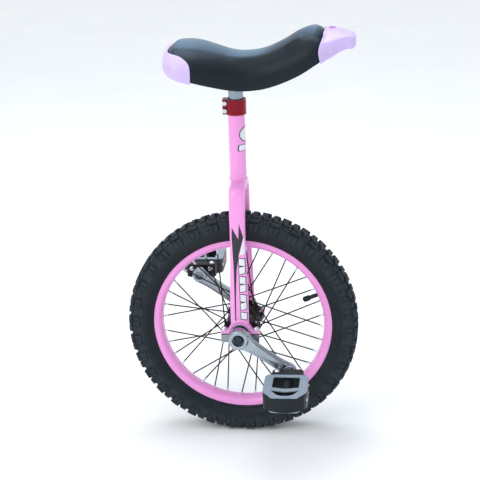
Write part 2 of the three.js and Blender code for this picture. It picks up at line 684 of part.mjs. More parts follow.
for (const [word, side] of Object.entries(SIDES)) {
  for (let index = 0; index < SPOKES_PER_SIDE / 2; index++) {
    wheel.add(meshOf(`spoke_pair_${word}_${index + 1}`, spokePair(side, index), blackSteel));
  }

  const arm = new THREE.Group();
  arm.rotation.y = CRANK_ANGLE + (side > 0 ? Math.PI : 0);
  arm.add(
    meshOf(`crank_${word}`, crank(side), castAlloy),
    meshOf(`crank_bolt_${word}`, crankBolt(side), blackSteel),
  );
  wheel.add(arm);

  const pedal = new THREE.Group();
  pedal.position.x = -side * CRANK_LENGTH * Math.cos(CRANK_ANGLE);
  pedal.position.z = side * CRANK_LENGTH * Math.sin(CRANK_ANGLE);
  pedal.add(
    meshOf(`pedal_spindle_${word}`, pedalSpindle(side), zincSteel),
    meshOf(`pedal_body_${word}`, pedalBody(side), blackPlastic),
    meshOf(`pedal_reflector_${word}_front`, reflector(side, 1), amberPlastic),
    meshOf(`pedal_reflector_${word}_rear`, reflector(side, -1), amberPlastic),
  );
  wheel.add(pedal);

  const bearingPlace = new THREE.Group();
  bearingPlace.position.z = TYRE_RADIUS;
  bearingPlace.add(meshOf(`bearing_${word}`, bearing(side), brightSteel));
  unicycle.add(
    bearingPlace,
    meshOf(`bearing_cap_${word}`, bearingCap(side), zincSteel),
    meshOf(`cap_bolt_${word}_front`, capBolt(side, 1), brightSteel),
    meshOf(`cap_bolt_${word}_rear`, capBolt(side, -1), brightSteel),
  );
}

unicycle.add(meshOf("fork_frame", forkFrame(), pinkPaint));
unicycle.add(meshOf("seat_clamp", seatClamp(), redAlloy));
for (const [place, z] of Object.entries(CLAMP_BOLT_HEIGHTS)) {
  unicycle.add(meshOf(`clamp_bolt_${place}`, clampBolt(z), brightSteel));
}
unicycle.add(
  meshOf("seatpost", seatPost(), brightSteel),
  meshOf("saddle_base", saddleBase(), blackPlastic),
  meshOf("saddle_foam", saddleFoam(), foamGrey),
  meshOf("saddle_cover", saddleCover(), saddleVinyl),
  meshOf("front_bumper", frontBumper(), lilacPlastic),
  meshOf("rear_bumper", rearBumper(), lilacPlastic),
);
SADDLE_BOLTS.forEach((place, i) => {
  unicycle.add(meshOf(`saddle_bolt_${i + 1}`, saddleBolt(place), zincSteel));
});

export default unicycle;
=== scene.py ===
# A learner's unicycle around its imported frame: x to the front, y to the rider's left, z up.
# Shapes are worked out in millimetres in the frame's own axes and stored in metres.
import math

import bmesh
import bpy
import numpy as np
from mathutils import Matrix, Vector
from mathutils.bvhtree import BVHTree
from mathutils.geometry import delaunay_2d_cdt


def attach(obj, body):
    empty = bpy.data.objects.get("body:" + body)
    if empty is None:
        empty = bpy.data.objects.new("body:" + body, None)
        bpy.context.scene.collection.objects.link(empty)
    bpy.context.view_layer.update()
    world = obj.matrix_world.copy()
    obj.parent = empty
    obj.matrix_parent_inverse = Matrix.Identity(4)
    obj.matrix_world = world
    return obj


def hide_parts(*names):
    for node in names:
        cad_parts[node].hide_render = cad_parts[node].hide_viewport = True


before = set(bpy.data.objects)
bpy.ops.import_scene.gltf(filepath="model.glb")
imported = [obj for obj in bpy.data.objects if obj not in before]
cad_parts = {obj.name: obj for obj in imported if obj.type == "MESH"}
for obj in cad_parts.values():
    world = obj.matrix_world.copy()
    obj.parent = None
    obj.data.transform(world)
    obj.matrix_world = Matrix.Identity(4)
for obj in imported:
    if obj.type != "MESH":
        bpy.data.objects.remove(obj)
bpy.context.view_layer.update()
MM = 0.001
SIDES = {"right": -1, "left": 1}

# ---- Sizes, in millimetres --------------------------------------------------------------
WHEEL_Z = 204
FLANGE_Y = 30
FLANGE_HOLE_CIRCLE = 29
RIM_WALL_RADIUS = 144.7
RIM_HOLE_OFFSET = 1.5
SPOKES_PER_SIDE = 18
SPOKE_ANGLE = 2 * math.pi / SPOKES_PER_SIDE
SPOKE_LEAN = 3 * SPOKE_ANGLE
FIRST_SPOKE = math.radians(6.8)
VALVE_ANGLE = FIRST_SPOKE + 0.75 * SPOKE_ANGLE
SPOKE_RADIUS = 1.15
BEARING_Y = 50
BEARING_RADIUS = 17.5
EAR_BOLT_X = 28
CRANK_LENGTH = 105
CRANK_ANGLE = math.radians(35)
NECK_RADIUS = 14.3
NECK_TOP = 609.4
CLAMP_BOTTOM, CLAMP_TOP = 584, 610
CLAMP_BOLT_X = -18
CLAMP_BOLT_HEIGHTS = (603.5, 590.5)
PLATE_Z = 646
SADDLE_BOLTS = [(x, y) for x in (-26, 26) for y in (-18, 18)]

# ---- Mesh helpers -------------------------------------------------------------------------


def placed(name, data):
    """An object with this data, in the scene."""
    obj = bpy.data.objects.new(name, data)
    bpy.context.scene.collection.objects.link(obj)
    return obj


def piece(name, verts, faces, body, slot, *materials, indices=None, smooth=40):
    """A mesh object from points in millimetres, riding on a body."""
    mesh = bpy.data.meshes.new(name)
    points = np.asarray(verts, float) * MM
    mesh.from_pydata([tuple(p) for p in points], [], [tuple(int(i) for i in f) for f in faces])
    mesh.validate()
    obj = placed(name, mesh)
    for material in materials:
        mesh.materials.append(material)
    if indices is not None:
        mesh.polygons.foreach_set("material_index", np.asarray(indices, np.int32))
    outward(mesh)
    shade(obj, smooth)
    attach(obj, body)
    return obj


def outward(mesh):
    work = bmesh.new()
    work.from_mesh(mesh)
    bmesh.ops.recalc_face_normals(work, faces=work.faces)
    work.to_mesh(mesh)
    work.free()


def shade(obj, angle):
    mesh = obj.data
    mesh.shade_smooth()
    if angle < 180:
        mesh.set_sharp_from_angle(angle=math.radians(angle))


def bevel(obj, width, segments=3, angle=35):
    modifier = obj.modifiers.new("bevel", "BEVEL")
    modifier.width = width * MM
    modifier.segments = segments
    modifier.limit_method = "ANGLE"
    modifier.angle_limit = math.radians(angle)


def finish_edges(obj, smooth, width, segments=3, angle=40):
    """Shades a cut piece again and rounds its edges over."""
    shade(obj, smooth)
    bevel(obj, width, segments, angle)


def subdivide(obj):
    modifier = obj.modifiers.new("subdivision", "SUBSURF")
    modifier.levels = modifier.render_levels = 1


def merged(parts):
    """Several (points, faces) as one."""
    verts, faces = [], []
    for points, polygons in parts:
        base = len(verts)
        verts.extend(map(tuple, points))
        faces.extend([tuple(i + base for i in f) for f in polygons])
    return verts, faces


def rings_mesh(rings, loop=False):
    """Closed rings of points joined in order; a loop joins the last to the first."""
    rings = np.asarray(rings, float)
    count, sides = rings.shape[:2]
    faces = []
    for ring in range(count if loop else count - 1):
        here, after = ring * sides, (ring + 1) % count * sides
        for i in range(sides):
            j = (i + 1) % sides
            faces.append((here + i, here + j, after + j, after + i))
    if not loop:
        faces.append(tuple(range(sides)))
        faces.append(tuple((count - 1) * sides + i for i in reversed(range(sides))))
    return rings.reshape(-1, 3), faces


def lathe(profile, steps, centre=(0, 0, 0), axis="y", closed=True):
    """A profile of (radius, along) turned about an axis; an open one starts and ends on it."""
    radius, along = np.asarray(profile, float).T
    places = {"x": [2, 0, 1], "y": [0, 2, 1], "z": [0, 1, 2]}[axis]
    rings = []
    for angle in np.arange(steps) * 2 * math.pi / steps:
        ring = np.stack([radius * math.cos(angle), radius * math.sin(angle), along], 1)
        rings.append(ring[:, places] + np.asarray(centre, float))
    if closed:
        return rings_mesh(rings, loop=True)
    inner = np.asarray(rings)[:, 1:-1]
    sides = inner.shape[1]
    first = steps * sides
    faces = []
    for ring in range(steps):
        here, after = ring * sides, (ring + 1) % steps * sides
        faces += [(here + i, here + i + 1, after + i + 1, after + i) for i in range(sides - 1)]
        faces += [(first, here, after), (here + sides - 1, first + 1, after + sides - 1)]
    return [*inner.reshape(-1, 3), rings[0][0], rings[0][-1]], faces


def sweep(points, radii, sides=12):
    """A round bar along points, one radius per point."""
    points = np.asarray(points, float)
    radii = np.broadcast_to(np.asarray(radii, float), (len(points),))
    tangents = np.gradient(points, axis=0)
    tangents /= np.linalg.norm(tangents, axis=1, keepdims=True)
    guide = np.array([0.0, 1, 0]) if abs(tangents[0][1]) < 0.9 else np.array([1.0, 0, 0])
    angles = np.arange(sides) * 2 * math.pi / sides
    rings = []
    for point, radius, tangent in zip(points, radii, tangents):
        across = np.cross(guide, tangent)
        across /= np.linalg.norm(across)
        guide = np.cross(tangent, across)
        rings.append(point + radius * (np.outer(np.cos(angles), across) + np.outer(np.sin(angles), guide)))
    return rings_mesh(rings)


def prism(outline, low, high, axis="y"):
    """A plate with a closed outline of 2-D points between two heights along an axis."""
    flat = np.asarray(outline, float)
    places = [0, 2, 1] if axis == "y" else [0, 1, 2]
    return rings_mesh([np.insert(flat, 2, level, axis=1)[:, places] for level in (low, high)])


def smooth_stations(stations, count):
    """Catmull-Rom through rows of numbers, evenly by row."""
    rows = np.asarray(stations, float)
    padded = np.vstack([2 * rows[0] - rows[1], rows, 2 * rows[-1] - rows[-2]])
    out = []
    for t in np.linspace(0, len(rows) - 1, count):
        i = min(int(t), len(rows) - 2)
        u = t - i
        a, b, c, d = padded[i : i + 4]
        square, cube = 2 * a - 5 * b + 4 * c - d, 3 * b - a - 3 * c + d
        out.append(0.5 * (2 * b + (c - a) * u + square * u**2 + cube * u**3))
    return np.array(out)


def rounded(outline, radius, steps=4):
    """A closed outline with its corners rounded."""
    points = [np.asarray(p, float) for p in outline]
    out = []
    for i, corner in enumerate(points):
        before, after = points[i - 1] - corner, points[(i + 1) % len(points)] - corner
        reach = min(radius, 0.45 * np.linalg.norm(before), 0.45 * np.linalg.norm(after))
        start = corner + before / np.linalg.norm(before) * reach
        end = corner + after / np.linalg.norm(after) * reach
        for t in np.linspace(0, 1, steps + 1):
            out.append((1 - t) ** 2 * start + 2 * t * (1 - t) * corner + t**2 * end)
    return np.array(out)


def arc(radius, start, end, steps, centre=(0, 0)):
    """Points on a circle between two angles."""
    angles = np.linspace(start, end, steps + 1)
    return [(centre[0] + radius * math.cos(a), centre[1] + radius * math.sin(a)) for a in angles]


def rect(left, right, low, high):
    """An upright box as an outline."""
    return [(left, low), (right, low), (right, high), (left, high)]


def mirrored(half):
    """The other half of an outline that is the same on both sides of the upright line."""
    return [(-x, z) for x, z in reversed(half)]


def apply_modifiers(obj):
    graph = bpy.context.evaluated_depsgraph_get()
    mesh = bpy.data.meshes.new_from_object(obj.evaluated_get(graph))
    obj.modifiers.clear()
    old = obj.data
    obj.data = mesh
    bpy.data.meshes.remove(old)


def boolean(obj, tool_mesh, operation="DIFFERENCE"):
    """Cuts obj with (points, faces) in millimetres, or joins them to it."""
    mesh = bpy.data.meshes.new("tool")
    mesh.from_pydata([tuple(np.asarray(p) * MM) for p in tool_mesh[0]], [], tool_mesh[1])
    outward(mesh)
    tool = placed("tool", mesh)
    modifier = obj.modifiers.new("cut", "BOOLEAN")
    modifier.operation = operation
    modifier.object = tool
    modifier.solver = "EXACT"
    bpy.context.view_layer.update()
    apply_modifiers(obj)
    bpy.data.objects.remove(tool)


def rod(radius, low, high, steps, centre=(0, 0, 0), axis="y"):
    """A round bar along an axis, to cut a hole with."""
    return lathe([(0.01, low), (radius, low), (radius, high), (0.01, high)], steps, centre, axis)


def remesh(obj, voxel, smoothing):
    """One skin round overlapping solids, softened where they meet."""
    modifier = obj.modifiers.new("remesh", "REMESH")
    modifier.mode = "VOXEL"
    modifier.voxel_size = voxel * MM
    soften = obj.modifiers.new("soften", "SMOOTH")
    soften.factor = 0.5
    soften.iterations = smoothing
    apply_modifiers(obj)
    outward(obj.data)
    obj.data.shade_smooth()


# ---- Materials ----------------------------------------------------------------------------


class Surface:
    """A Principled material with a small set of procedural layers."""

    def __init__(self, name, rough=0.5, metal=0.0, coat=0.0, coat_rough=0.1, specular=0.5, sheen=0.0):
        self.material = bpy.data.materials.new(name)
        self.material.use_nodes = True
        self.nodes = self.material.node_tree.nodes
        self.links = self.material.node_tree.links
        self.shader = self.nodes["Principled BSDF"]
        finish = {
            "Metallic": metal, "Roughness": rough, "Coat Weight": coat, "Coat Roughness": coat_rough,
            "Specular IOR Level": specular, "Sheen Weight": sheen, "Sheen Tint": (0.6, 0.8, 1, 1),
            "Sheen Roughness": 0.35,
        }
        for socket, value in finish.items():
            self.shader.inputs[socket].default_value = value
        self.place = self.nodes.new("ShaderNodeTexCoord")
        self.normal = None

    def feed(self, socket, value):
        if isinstance(value, bpy.types.NodeSocket):
            self.links.new(value, socket)
        else:
            socket.default_value = value

    def node(self, kind, **inputs):
        """A new node; each input is a number, a colour, or another node's output to link."""
        node = self.nodes.new("ShaderNode" + kind)
        for name, value in inputs.items():
            self.feed(node.inputs[name.replace("_", " ")], value)
        return node

    def mapped(self, scale=(1, 1, 1), turn=(0, 0, 0)):
        node = self.node("Mapping", Scale=scale, Rotation=turn, Vector=self.place.outputs["Object"])
        return node.outputs["Vector"]

    def noise(self, scale, detail=3.0, rough=0.55, stretch=(1, 1, 1), turn=(0, 0, 0)):
        place = self.mapped(stretch, turn)
        node = self.node("TexNoise", Scale=scale, Detail=detail, Roughness=rough, Vector=place)
        return node.outputs["Fac"]

    def upward(self):
        """How far a face looks up, 1 when level."""
        return self.node("SeparateXYZ", Vector=self.place.outputs["Normal"]).outputs["Z"]

    def cells(self, scale, feature="DISTANCE_TO_EDGE"):
        node = self.node("TexVoronoi", Vector=self.mapped())
        node.feature = feature
        node.inputs["Scale"].default_value = scale
        return node.outputs["Distance"]

    def ramp(self, value, *stops):
        node = self.node("ValToRGB", Fac=value)
        elements = node.color_ramp.elements
        while len(elements) < len(stops):
            elements.new(0.5)
        for element, (position, colour) in zip(elements, stops):
            element.position = position
            element.color = (*colour, 1)
        return node.outputs["Color"]

    def spread(self, value, low, high):
        """The middle of a noise's range, spread from low to high."""
        node = self.node("MapRange", From_Min=0.3, From_Max=0.7, To_Min=low, To_Max=high, Value=value)
        return node.outputs["Result"]

    def mix(self, factor, a, b):
        node = self.nodes.new("ShaderNodeMix")
        node.data_type = "RGBA"
        for index, value in ((0, factor), (6, a), (7, b)):
            self.feed(node.inputs[index], (*value, 1) if isinstance(value, tuple) else value)
        return node.outputs[2]

    def colour(self, socket):
        self.links.new(socket, self.shader.inputs["Base Color"])

    def roughness(self, socket):
        self.links.new(socket, self.shader.inputs["Roughness"])

    def bump(self, height, distance, strength=1.0):
        """Adds a bump of so many millimetres on top of the earlier ones."""
        node = self.node("Bump", Distance=distance * MM, Strength=strength, Height=height)
        if self.normal is not None:
            self.links.new(self.normal, node.inputs["Normal"])
        self.normal = node.outputs["Normal"]
        self.links.new(self.normal, self.shader.inputs["Normal"])


def tone(colour, factor):
    return tuple(min(1.0, c * factor) for c in colour)


def painted(name, colour, rough=0.28, coat=0.6, flake=0.06):
    s = Surface(name, coat=coat, coat_rough=0.08)
    s.colour(s.ramp(s.noise(14, 4), (0.3, tone(colour, 1 - flake)), (0.7, tone(colour, 1 + flake))))
    s.roughness(s.spread(s.noise(160, 3), rough - 0.05, rough + 0.08))
    s.bump(s.noise(420, 2), 0.05, 0.35)
    return s.material


NOTHING, ALL = (0, 0, 0), (1, 1, 1)


def rubber(name, colour, dust, rough=0.62, grain=0.12):
    s = Surface(name, specular=0.16)
    cloud = s.noise(38, 6, 0.65)
    dry = s.ramp(cloud, (0.35, colour), (0.75, dust))
    speck = s.ramp(s.noise(900, 2), (0.62, NOTHING), (0.72, ALL))
    s.colour(s.mix(speck, dry, tone(dust, 1.35)))
    s.roughness(s.spread(cloud, rough - 0.1, rough + 0.14))
    s.bump(s.noise(1500, 3), grain, 0.4)
    s.bump(s.noise(90, 4), 0.25, 0.25)
    return s.material


def metal(name, colour, rough=0.3, stretch=(1, 1, 1), turn=(0, 0, 0), grime=0.12, scratch=0.06, coat=0.0):
    s = Surface(name, metal=1.0, coat=coat)
    cloud = s.noise(45, 5, 0.6)
    s.colour(s.ramp(cloud, (0.3, tone(colour, 1 - grime)), (0.7, tone(colour, 1 + grime / 2))))
    lines = s.noise(260, 3, 0.6, stretch, turn)
    s.roughness(s.spread(lines, max(0.05, rough - 0.09), rough + 0.12))
    s.bump(lines, scratch, 0.35)
    return s.material


def plastic(name, colour, rough=0.42, grain=0.08, grain_scale=1300, wear=None, specular=0.5):
    s = Surface(name, specular=specular)
    base = s.ramp(s.noise(30, 4), (0.3, tone(colour, 0.93)), (0.7, tone(colour, 1.06)))
    if wear is not None:
        scuffs = s.ramp(s.noise(210, 5, 0.7, (1, 1, 3)), (0.6, NOTHING), (0.74, ALL))
        base = s.mix(scuffs, base, wear)
    s.colour(base)
    s.roughness(s.spread(s.noise(120, 4), rough - 0.06, rough + 0.1))
    s.bump(s.noise(grain_scale, 2), grain, 0.45)
    return s.material


def vinyl(name, colour, light, painted_top_sheen):
    s = Surface(name, specular=0.1, coat=0.16, coat_rough=0.32, sheen=0.22)
    # Faces that look up are mixed towards the last colour: a painted bluish sheen where the overhead light
    # catches the top of the seat.
    seat = s.ramp(s.upward(), (0.7, NOTHING), (0.88, (0.3, 0.3, 0.3)), (1.0, ALL))
    s.colour(s.mix(seat, s.ramp(s.noise(9, 5, 0.6), (0.3, colour), (0.75, light)), painted_top_sheen))
    s.roughness(s.spread(s.noise(70, 4), 0.38, 0.52))
    s.bump(s.noise(16, 3), 0.8, 0.12)
    s.bump(s.cells(900), 0.16, 0.5)
    s.bump(s.noise(2200, 2), 0.06, 0.4)
    return s.material


def prismatic(name, colour, deep):
    s = Surface(name, specular=0.12)
    cells = s.cells(420, "F1")
    s.colour(s.ramp(cells, (0.15, colour), (0.6, deep)))
    s.roughness(s.spread(s.noise(200, 3), 0.24, 0.36))
    s.bump(cells, 0.6, 0.7)
    return s.material


PINK = (0.88, 0.32, 0.725)
LILAC = (0.62, 0.49, 0.85)
M = {
    "pink": painted("pink_powder_coat", PINK, 0.3, 0.5, 0.025),
    "rim": painted("pink_rim_coat", tone(PINK, 0.97), 0.3, 0.45, 0.03),
    "black_paint": painted("black_gloss_paint", (0.008, 0.008, 0.011), 0.22, 0.2, 0.2),
    "tread": rubber("tread_rubber", (0.015, 0.021, 0.027), (0.034, 0.044, 0.052), 0.55, 0.16),
    "sidewall": rubber("sidewall_rubber", (0.011, 0.016, 0.021), (0.02, 0.027, 0.033), 0.5, 0.08),
    "tube": rubber("tube_rubber", (0.016, 0.017, 0.019), (0.03, 0.032, 0.034), 0.5, 0.05),
    "spoke": metal("blackened_wire", (0.034, 0.024, 0.017), 0.36, grime=0.3),
    "bolt_black": metal("black_oxide", (0.045, 0.052, 0.062), 0.36, grime=0.25),
    "nipple": metal("nickel_plate", (0.62, 0.63, 0.66), 0.24),
    "zinc": metal("zinc_plate", (0.29, 0.32, 0.34), 0.38, grime=0.2, scratch=0.1),
    "bright": metal("bright_steel", (0.72, 0.74, 0.77), 0.2, grime=0.06),
    "post": metal("satin_chrome", (0.29, 0.35, 0.42), 0.25, (1, 1, 9), grime=0.05),
    "crank": metal("forged_alloy", (0.38, 0.435, 0.485), 0.25, (3, 1, 1), (0, CRANK_ANGLE, 0), 0.14, 0.09),
    "red": metal("red_anodised", (0.26, 0.008, 0.02), 0.3, (1, 1, 7), grime=0.18, coat=0.3),
    "black": plastic("moulded_black", (0.013, 0.018, 0.022), 0.4, 0.12, 900, (0.03, 0.037, 0.044), 0.16),
    "grey": plastic("grey_tread_plate", (0.25, 0.315, 0.385), 0.34, 0.1, 800, (0.26, 0.31, 0.35)),
    "lilac": plastic("lilac_shell", LILAC, 0.36, 0.03, 700),
    # A dark pinkish purple, darker than the lilac shell: painted shade for the floor inside the bumper's
    # slot.
    "slot_shade": plastic("painted_slot_shade", (0.65, 0.16, 0.5), 0.4, 0.03, 700),
    # The last colour is a painted sheen on the faces of the cushion that look up.
    "vinyl": vinyl("grained_vinyl", (0.006, 0.011, 0.016), (0.01, 0.017, 0.024), (0.11, 0.175, 0.25)),
    "reflector": prismatic("amber_prism", (0.3, 0.05, 0.02), (0.09, 0.012, 0.006)),
    "decal_black": plastic("decal_black", (0.014, 0.016, 0.024), 0.3, 0.02, 500),
    "decal_white": plastic("decal_silver_white", (0.78, 0.79, 0.86), 0.28, 0.02, 500),
    "seal": rubber("bearing_seal", (0.012, 0.012, 0.014), (0.02, 0.02, 0.022), 0.5, 0.04),
}


# ---- Wheel --------------------------------------------------------------------------------


def in_wheel(radius, angle, y):
    return np.array([radius * math.cos(angle), y, radius * math.sin(angle) + WHEEL_Z])


PITCHES = 34
# Where the sides of the blocks stand along one pitch, as shares of it.
PITCH_STOPS = [0, 0.03, 0.06, 0.2, 0.23, 0.27, 0.32, 0.35, 0.44, 0.47, 0.53, 0.56, 0.69, 0.82, 0.85, 0.96]
# Rows of blocks on one half, from the sidewall up: how far the row is turned round, (radius, y)
# of the floor along it, and its blocks as (from, to, height) along the pitch.
TREAD_ROWS = [
    (0, [(181.2, 24.8), (182.4, 24.7), (186, 24.2), (190, 23.4), (193.4, 22.4), (194.2, 22.2)],
     [(0.03, 0.2, 3.3), (0.23, 0.27, 1.7), (0.32, 0.47, 3.3), (0.56, 0.56, 0.5), (0.96, 0.96, 0.5)]),
    (0, [(194.6, 22.0), (195.2, 21.4), (196.6, 19.4), (197.8, 17.2), (198.2, 16.4)],
     [(0.03, 0.44, 5.2), (0.56, 0.82, 3.8)]),
    (0.05, [(198.4, 15.6), (198.5, 14.8), (198.8, 12.0), (198.9, 9.2), (198.9, 8.4)],
     [(0.06, 0.32, 5.05), (0.56, 0.82, 5.05)]),
    (0.12, [(199.0, 7.6), (199.0, 6.8), (199.0, 4.0), (199.0, 1.0), (199.0, 0.4)],
     [(0.06, 0.32, 5.0), (0.56, 0.82, 5.0)]),
]
SIDEWALL = [
    (152.4, 12.4), (155, 12.9), (157.5, 13.4), (160, 15.2), (161.2, 16.6), (161.6, 17.5), (162.4, 17.6),
    (162.9, 17.4), (166, 20.4), (169.5, 22.5), (170, 23.2), (171, 23.6), (171.6, 23.3), (175, 24.3),
    (178.5, 24.9),
]
INSIDE = [
    (196, 0), (196, 8), (194, 16), (189, 20.5), (180, 22.4), (170, 20), (162, 14), (157, 10.2), (152.4, 9.6),
]


def tread_height(blocks, share):
    for start, end, height in blocks:
        if start - 1e-6 <= share <= end + 1e-6:
            return height
    return 0.0


def tyre_piece():
    # Round the section from the left bead over the crown to the right bead: radius, y, how far
    # the row is turned, and the blocks that may stand there.
    half = [(r, y, 0, []) for r, y in SIDEWALL]
    for turn, floor, blocks in TREAD_ROWS:
        last = len(floor) - 1
        half += [(r, y, turn, [] if i in (0, last) else blocks) for i, (r, y) in enumerate(floor)]
    outer = half + [(r, -y, turn, blocks) for r, y, turn, blocks in reversed(half)]
    lining = [(r, -y) for r, y in reversed(INSIDE)] + INSIDE[1:]
    columns = outer + [(r, y, 0, []) for r, y in lining]
    flat = np.array([column[:2] for column in columns])
    along = np.roll(flat, -1, axis=0) - np.roll(flat, 1, axis=0)
    normals = np.stack([along[:, 1], -along[:, 0]], 1)
    normals /= np.linalg.norm(normals, axis=1, keepdims=True)
    if normals[len(half)][0] < 0:
        normals = -normals
    rings = []
    for share in [pitch + stop for pitch in range(PITCHES) for stop in PITCH_STOPS]:
        ring = []
        for (r, y, turn, blocks), normal in zip(columns, normals):
            # The right half's blocks stand between the left half's.
            angle = (share + (turn + (0 if y >= 0 else 0.5))) * 2 * math.pi / PITCHES
            height = tread_height(blocks, share % 1.0)
            ring.append(in_wheel(r + normal[0] * height, angle, y + normal[1] * height))
        rings.append(ring)
    verts, faces = rings_mesh(rings, loop=True)
    wall = len(SIDEWALL)
    tread = range(wall, len(outer) - wall)
    indices = [0 if i % len(columns) in tread else 1 for i in range(len(faces))]
    made = piece("tyre_carcass", verts, faces, "wheel", "tyre_rubber", M["tread"], M["sidewall"],
                 indices=indices, smooth=32)
    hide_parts("tyre")


def tube_piece():
    torus = lathe(arc(18, 0, 2 * math.pi * 23 / 24, 23, (175.5, 0)), 96, (0, 0, WHEEL_Z))
    stem = sweep([in_wheel(r, VALVE_ANGLE, 0) for r in np.linspace(125, 160, 12)], 3.6, 20)
    made = piece("tube_with_valve", *merged([torus, stem]), "wheel", "tube_rubber", M["tube"])
    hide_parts("inner_tube")
    stations = [(115.6, 2.6), (115.9, 3.4), (116.6, 4.1), (117.6, 4.6), (118.4, 4.9), (126.6, 4.9),
                (127.4, 4.6), (128, 4.2)]
    points = [in_wheel(r, VALVE_ANGLE, 0) for r, _ in stations]
    sides = 32
    verts, faces = sweep(points, [radius for _, radius in stations], sides)
    # Fine ribs along the cap for the fingers.
    for ring in (4, 5):
        for at in range(ring * sides, (ring + 1) * sides, 2):
            verts[at] = points[ring] + (verts[at] - points[ring]) * 0.93
    made = piece("valve_cap_ribbed", verts, faces, "wheel", "black_plastic", M["black"], smooth=50)
    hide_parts("valve_cap")


# Half of the rim's section, from the well up the bead seat, over the edge and back inside.
RIM_HALF = [
    (143.5, 3.6), (143.6, 5.2), (144.2, 7.6), (145.4, 10.2), (147.2, 12.4), (149.4, 14.1), (151.2, 14.9),
    (152.6, 15.0), (156.8, 15.0), (158.0, 14.8), (158.5, 14.3), (158.5, 13.6), (158.0, 13.1), (156.4, 12.9),
    (152.6, 12.6), (151.8, 11.6), (151.5, 9.2), (150.4, 8.4), (147.0, 7.4),
]


def other_side(profile):
    """A profile's mirror image, run backwards so that it carries on from the first."""
    return [(r, -y) for r, y in reversed(profile)]


def rim_piece():
    profile = [(144.6, 0), *RIM_HALF, (146.2, 0), *other_side(RIM_HALF)]
    hoop = lathe(profile, 216, (0, 0, WHEEL_Z))
    made = piece("rim_hoop", *hoop, "wheel", "pink_paint", M["rim"], smooth=45)
    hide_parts("rim")


def curve(start, middle, end, steps):
    """Points on a smooth bend from start to end, pulled towards middle."""
    return [(1 - t) ** 2 * start + 2 * t * (1 - t) * middle + t**2 * end for t in np.linspace(0, 1, steps)]


def spoke_path(side, rim_angle, hub_angle, head_side, crossing):
    """Centre lines of a spoke, its head and its nipple."""
    face = head_side * 1.3

    def at_hub(beyond):
        return in_wheel(FLANGE_HOLE_CIRCLE, hub_angle, side * FLANGE_Y + beyond)

    through = in_wheel(RIM_WALL_RADIUS, rim_angle, side * RIM_HOLE_OFFSET)
    out = (through - crossing) / np.linalg.norm(through - crossing)
    elbow = at_hub(-face - head_side * 2.4)
    onward = (crossing - elbow) / np.linalg.norm(crossing - elbow)
    bend = curve(at_hub(-face), elbow, elbow + onward * 3.2, 6)
    eased = curve(crossing - onward * 6, crossing, crossing + out * 6, 5)
    path = [at_hub(face + head_side * 0.2), *bend, *eased, through - out * 8]
    head = [at_hub(face + head_side * d) for d in (0.0, 0.3, 1.0, 1.5, 1.8)]
    nipple = [through + out * d for d in (-9.4, -9.0, -4.2, -3.8, 2.2, 2.6, 3.4, 3.8)]
    return path, head, nipple


def spokes():
    for word, side in SIDES.items():
        wires, heads, nipples = [], [], []
        for index in range(SPOKES_PER_SIDE // 2):
            rim_a = FIRST_SPOKE + (SPOKE_ANGLE / 2 if side > 0 else 0) + 2 * index * SPOKE_ANGLE
            rim_b = rim_a - SPOKE_ANGLE
            middle = (rim_a + rim_b) / 2
            hub = in_wheel(FLANGE_HOLE_CIRCLE, rim_a - SPOKE_LEAN - middle, 0)
            end = in_wheel(RIM_WALL_RADIUS, rim_a - middle, 0)
            share = (hub[2] - WHEEL_Z) / (hub[2] - end[2])
            radius = hub[0] + share * (end[0] - hub[0])
            y = side * (FLANGE_Y + share * (RIM_HOLE_OFFSET - FLANGE_Y))
            for rim_angle, hub_angle, head_side, beyond in (
                (rim_a, rim_a - SPOKE_LEAN, side, -1.05),
                (rim_b, rim_b + SPOKE_LEAN, -side, 1.05),
            ):
                crossing = in_wheel(radius, middle, y + beyond * side * SPOKE_RADIUS)
                path, head, nipple = spoke_path(side, rim_angle, hub_angle, head_side, crossing)
                wires.append(sweep(path, SPOKE_RADIUS, 10))
                heads.append(sweep(head, [1.3, 1.9, 1.9, 1.5, 0.6], 12))
                nipples.append(sweep(nipple, [1.3, 1.75, 1.75, 1.95, 1.95, 2.9, 2.9, 2.2], 12))
        verts, faces = merged(wires + heads)
        split = sum(len(f) for _, f in wires)
        indices = [int(i >= split) for i in range(len(faces))]
        made = piece(f"spokes_{word}", verts, faces, "wheel", "dark_steel", M["spoke"], M["nipple"],
                     indices=indices)
        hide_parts(*[f"spoke_pair_{word}_{i + 1}" for i in range(SPOKES_PER_SIDE // 2)])
        piece(f"nipples_{word}", *merged(nipples), "wheel", "bolt_steel", M["nipple"])


def hub_piece():
    half = [
        (16.0, 43.0), (16.8, 42.2), (17.2, 38), (17.6, 33.4), (18.6, 31.9), (20.6, 31.3), (29.6, 31.3),
        (30.9, 31.0), (31.4, 30.4), (31.4, 29.6), (30.9, 29.0), (29.6, 28.7), (21.5, 28.7), (19.4, 28.1),
        (17.4, 26.0), (15.6, 22.4), (14.6, 18.0), (14.0, 10.0),
    ]
    profile = [*half, *other_side(half), (8.8, -43.0), (8.8, 43.0)]
    made = piece("hub_barrel", *lathe(profile, 96, (0, 0, WHEEL_Z)), "wheel", "black_paint",
                 M["black_paint"], smooth=50)
    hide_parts("hub_shell")


# ---- Cranks -------------------------------------------------------------------------------


def on_crank(side, verts):
    """Turns points made along +x, on the right, onto either side's crank."""
    points = np.array(verts, float)
    angle = CRANK_ANGLE + (math.pi if side > 0 else 0)
    if side > 0:
        points[:, 1] *= -1
    c, s = math.cos(angle), math.sin(angle)
    x, z = points[:, 0] * c + points[:, 2] * s, -points[:, 0] * s + points[:, 2] * c
    return np.stack([x, points[:, 1], z + WHEEL_Z], 1)


# Along the arm: x, half width, y of the outer face and of the inner face.
ARM_STATIONS = [
    (4, 17.2, -80.0, -68.6), (13, 15.0, -80.4, -68.7), (22, 11.8, -80.8, -68.9), (34, 10.0, -81, -69),
    (50, 9.2, -81, -69), (68, 9.0, -81, -69), (84, 9.4, -81, -69), (95, 10.8, -81, -69),
    (105, 12.4, -81, -69),
]


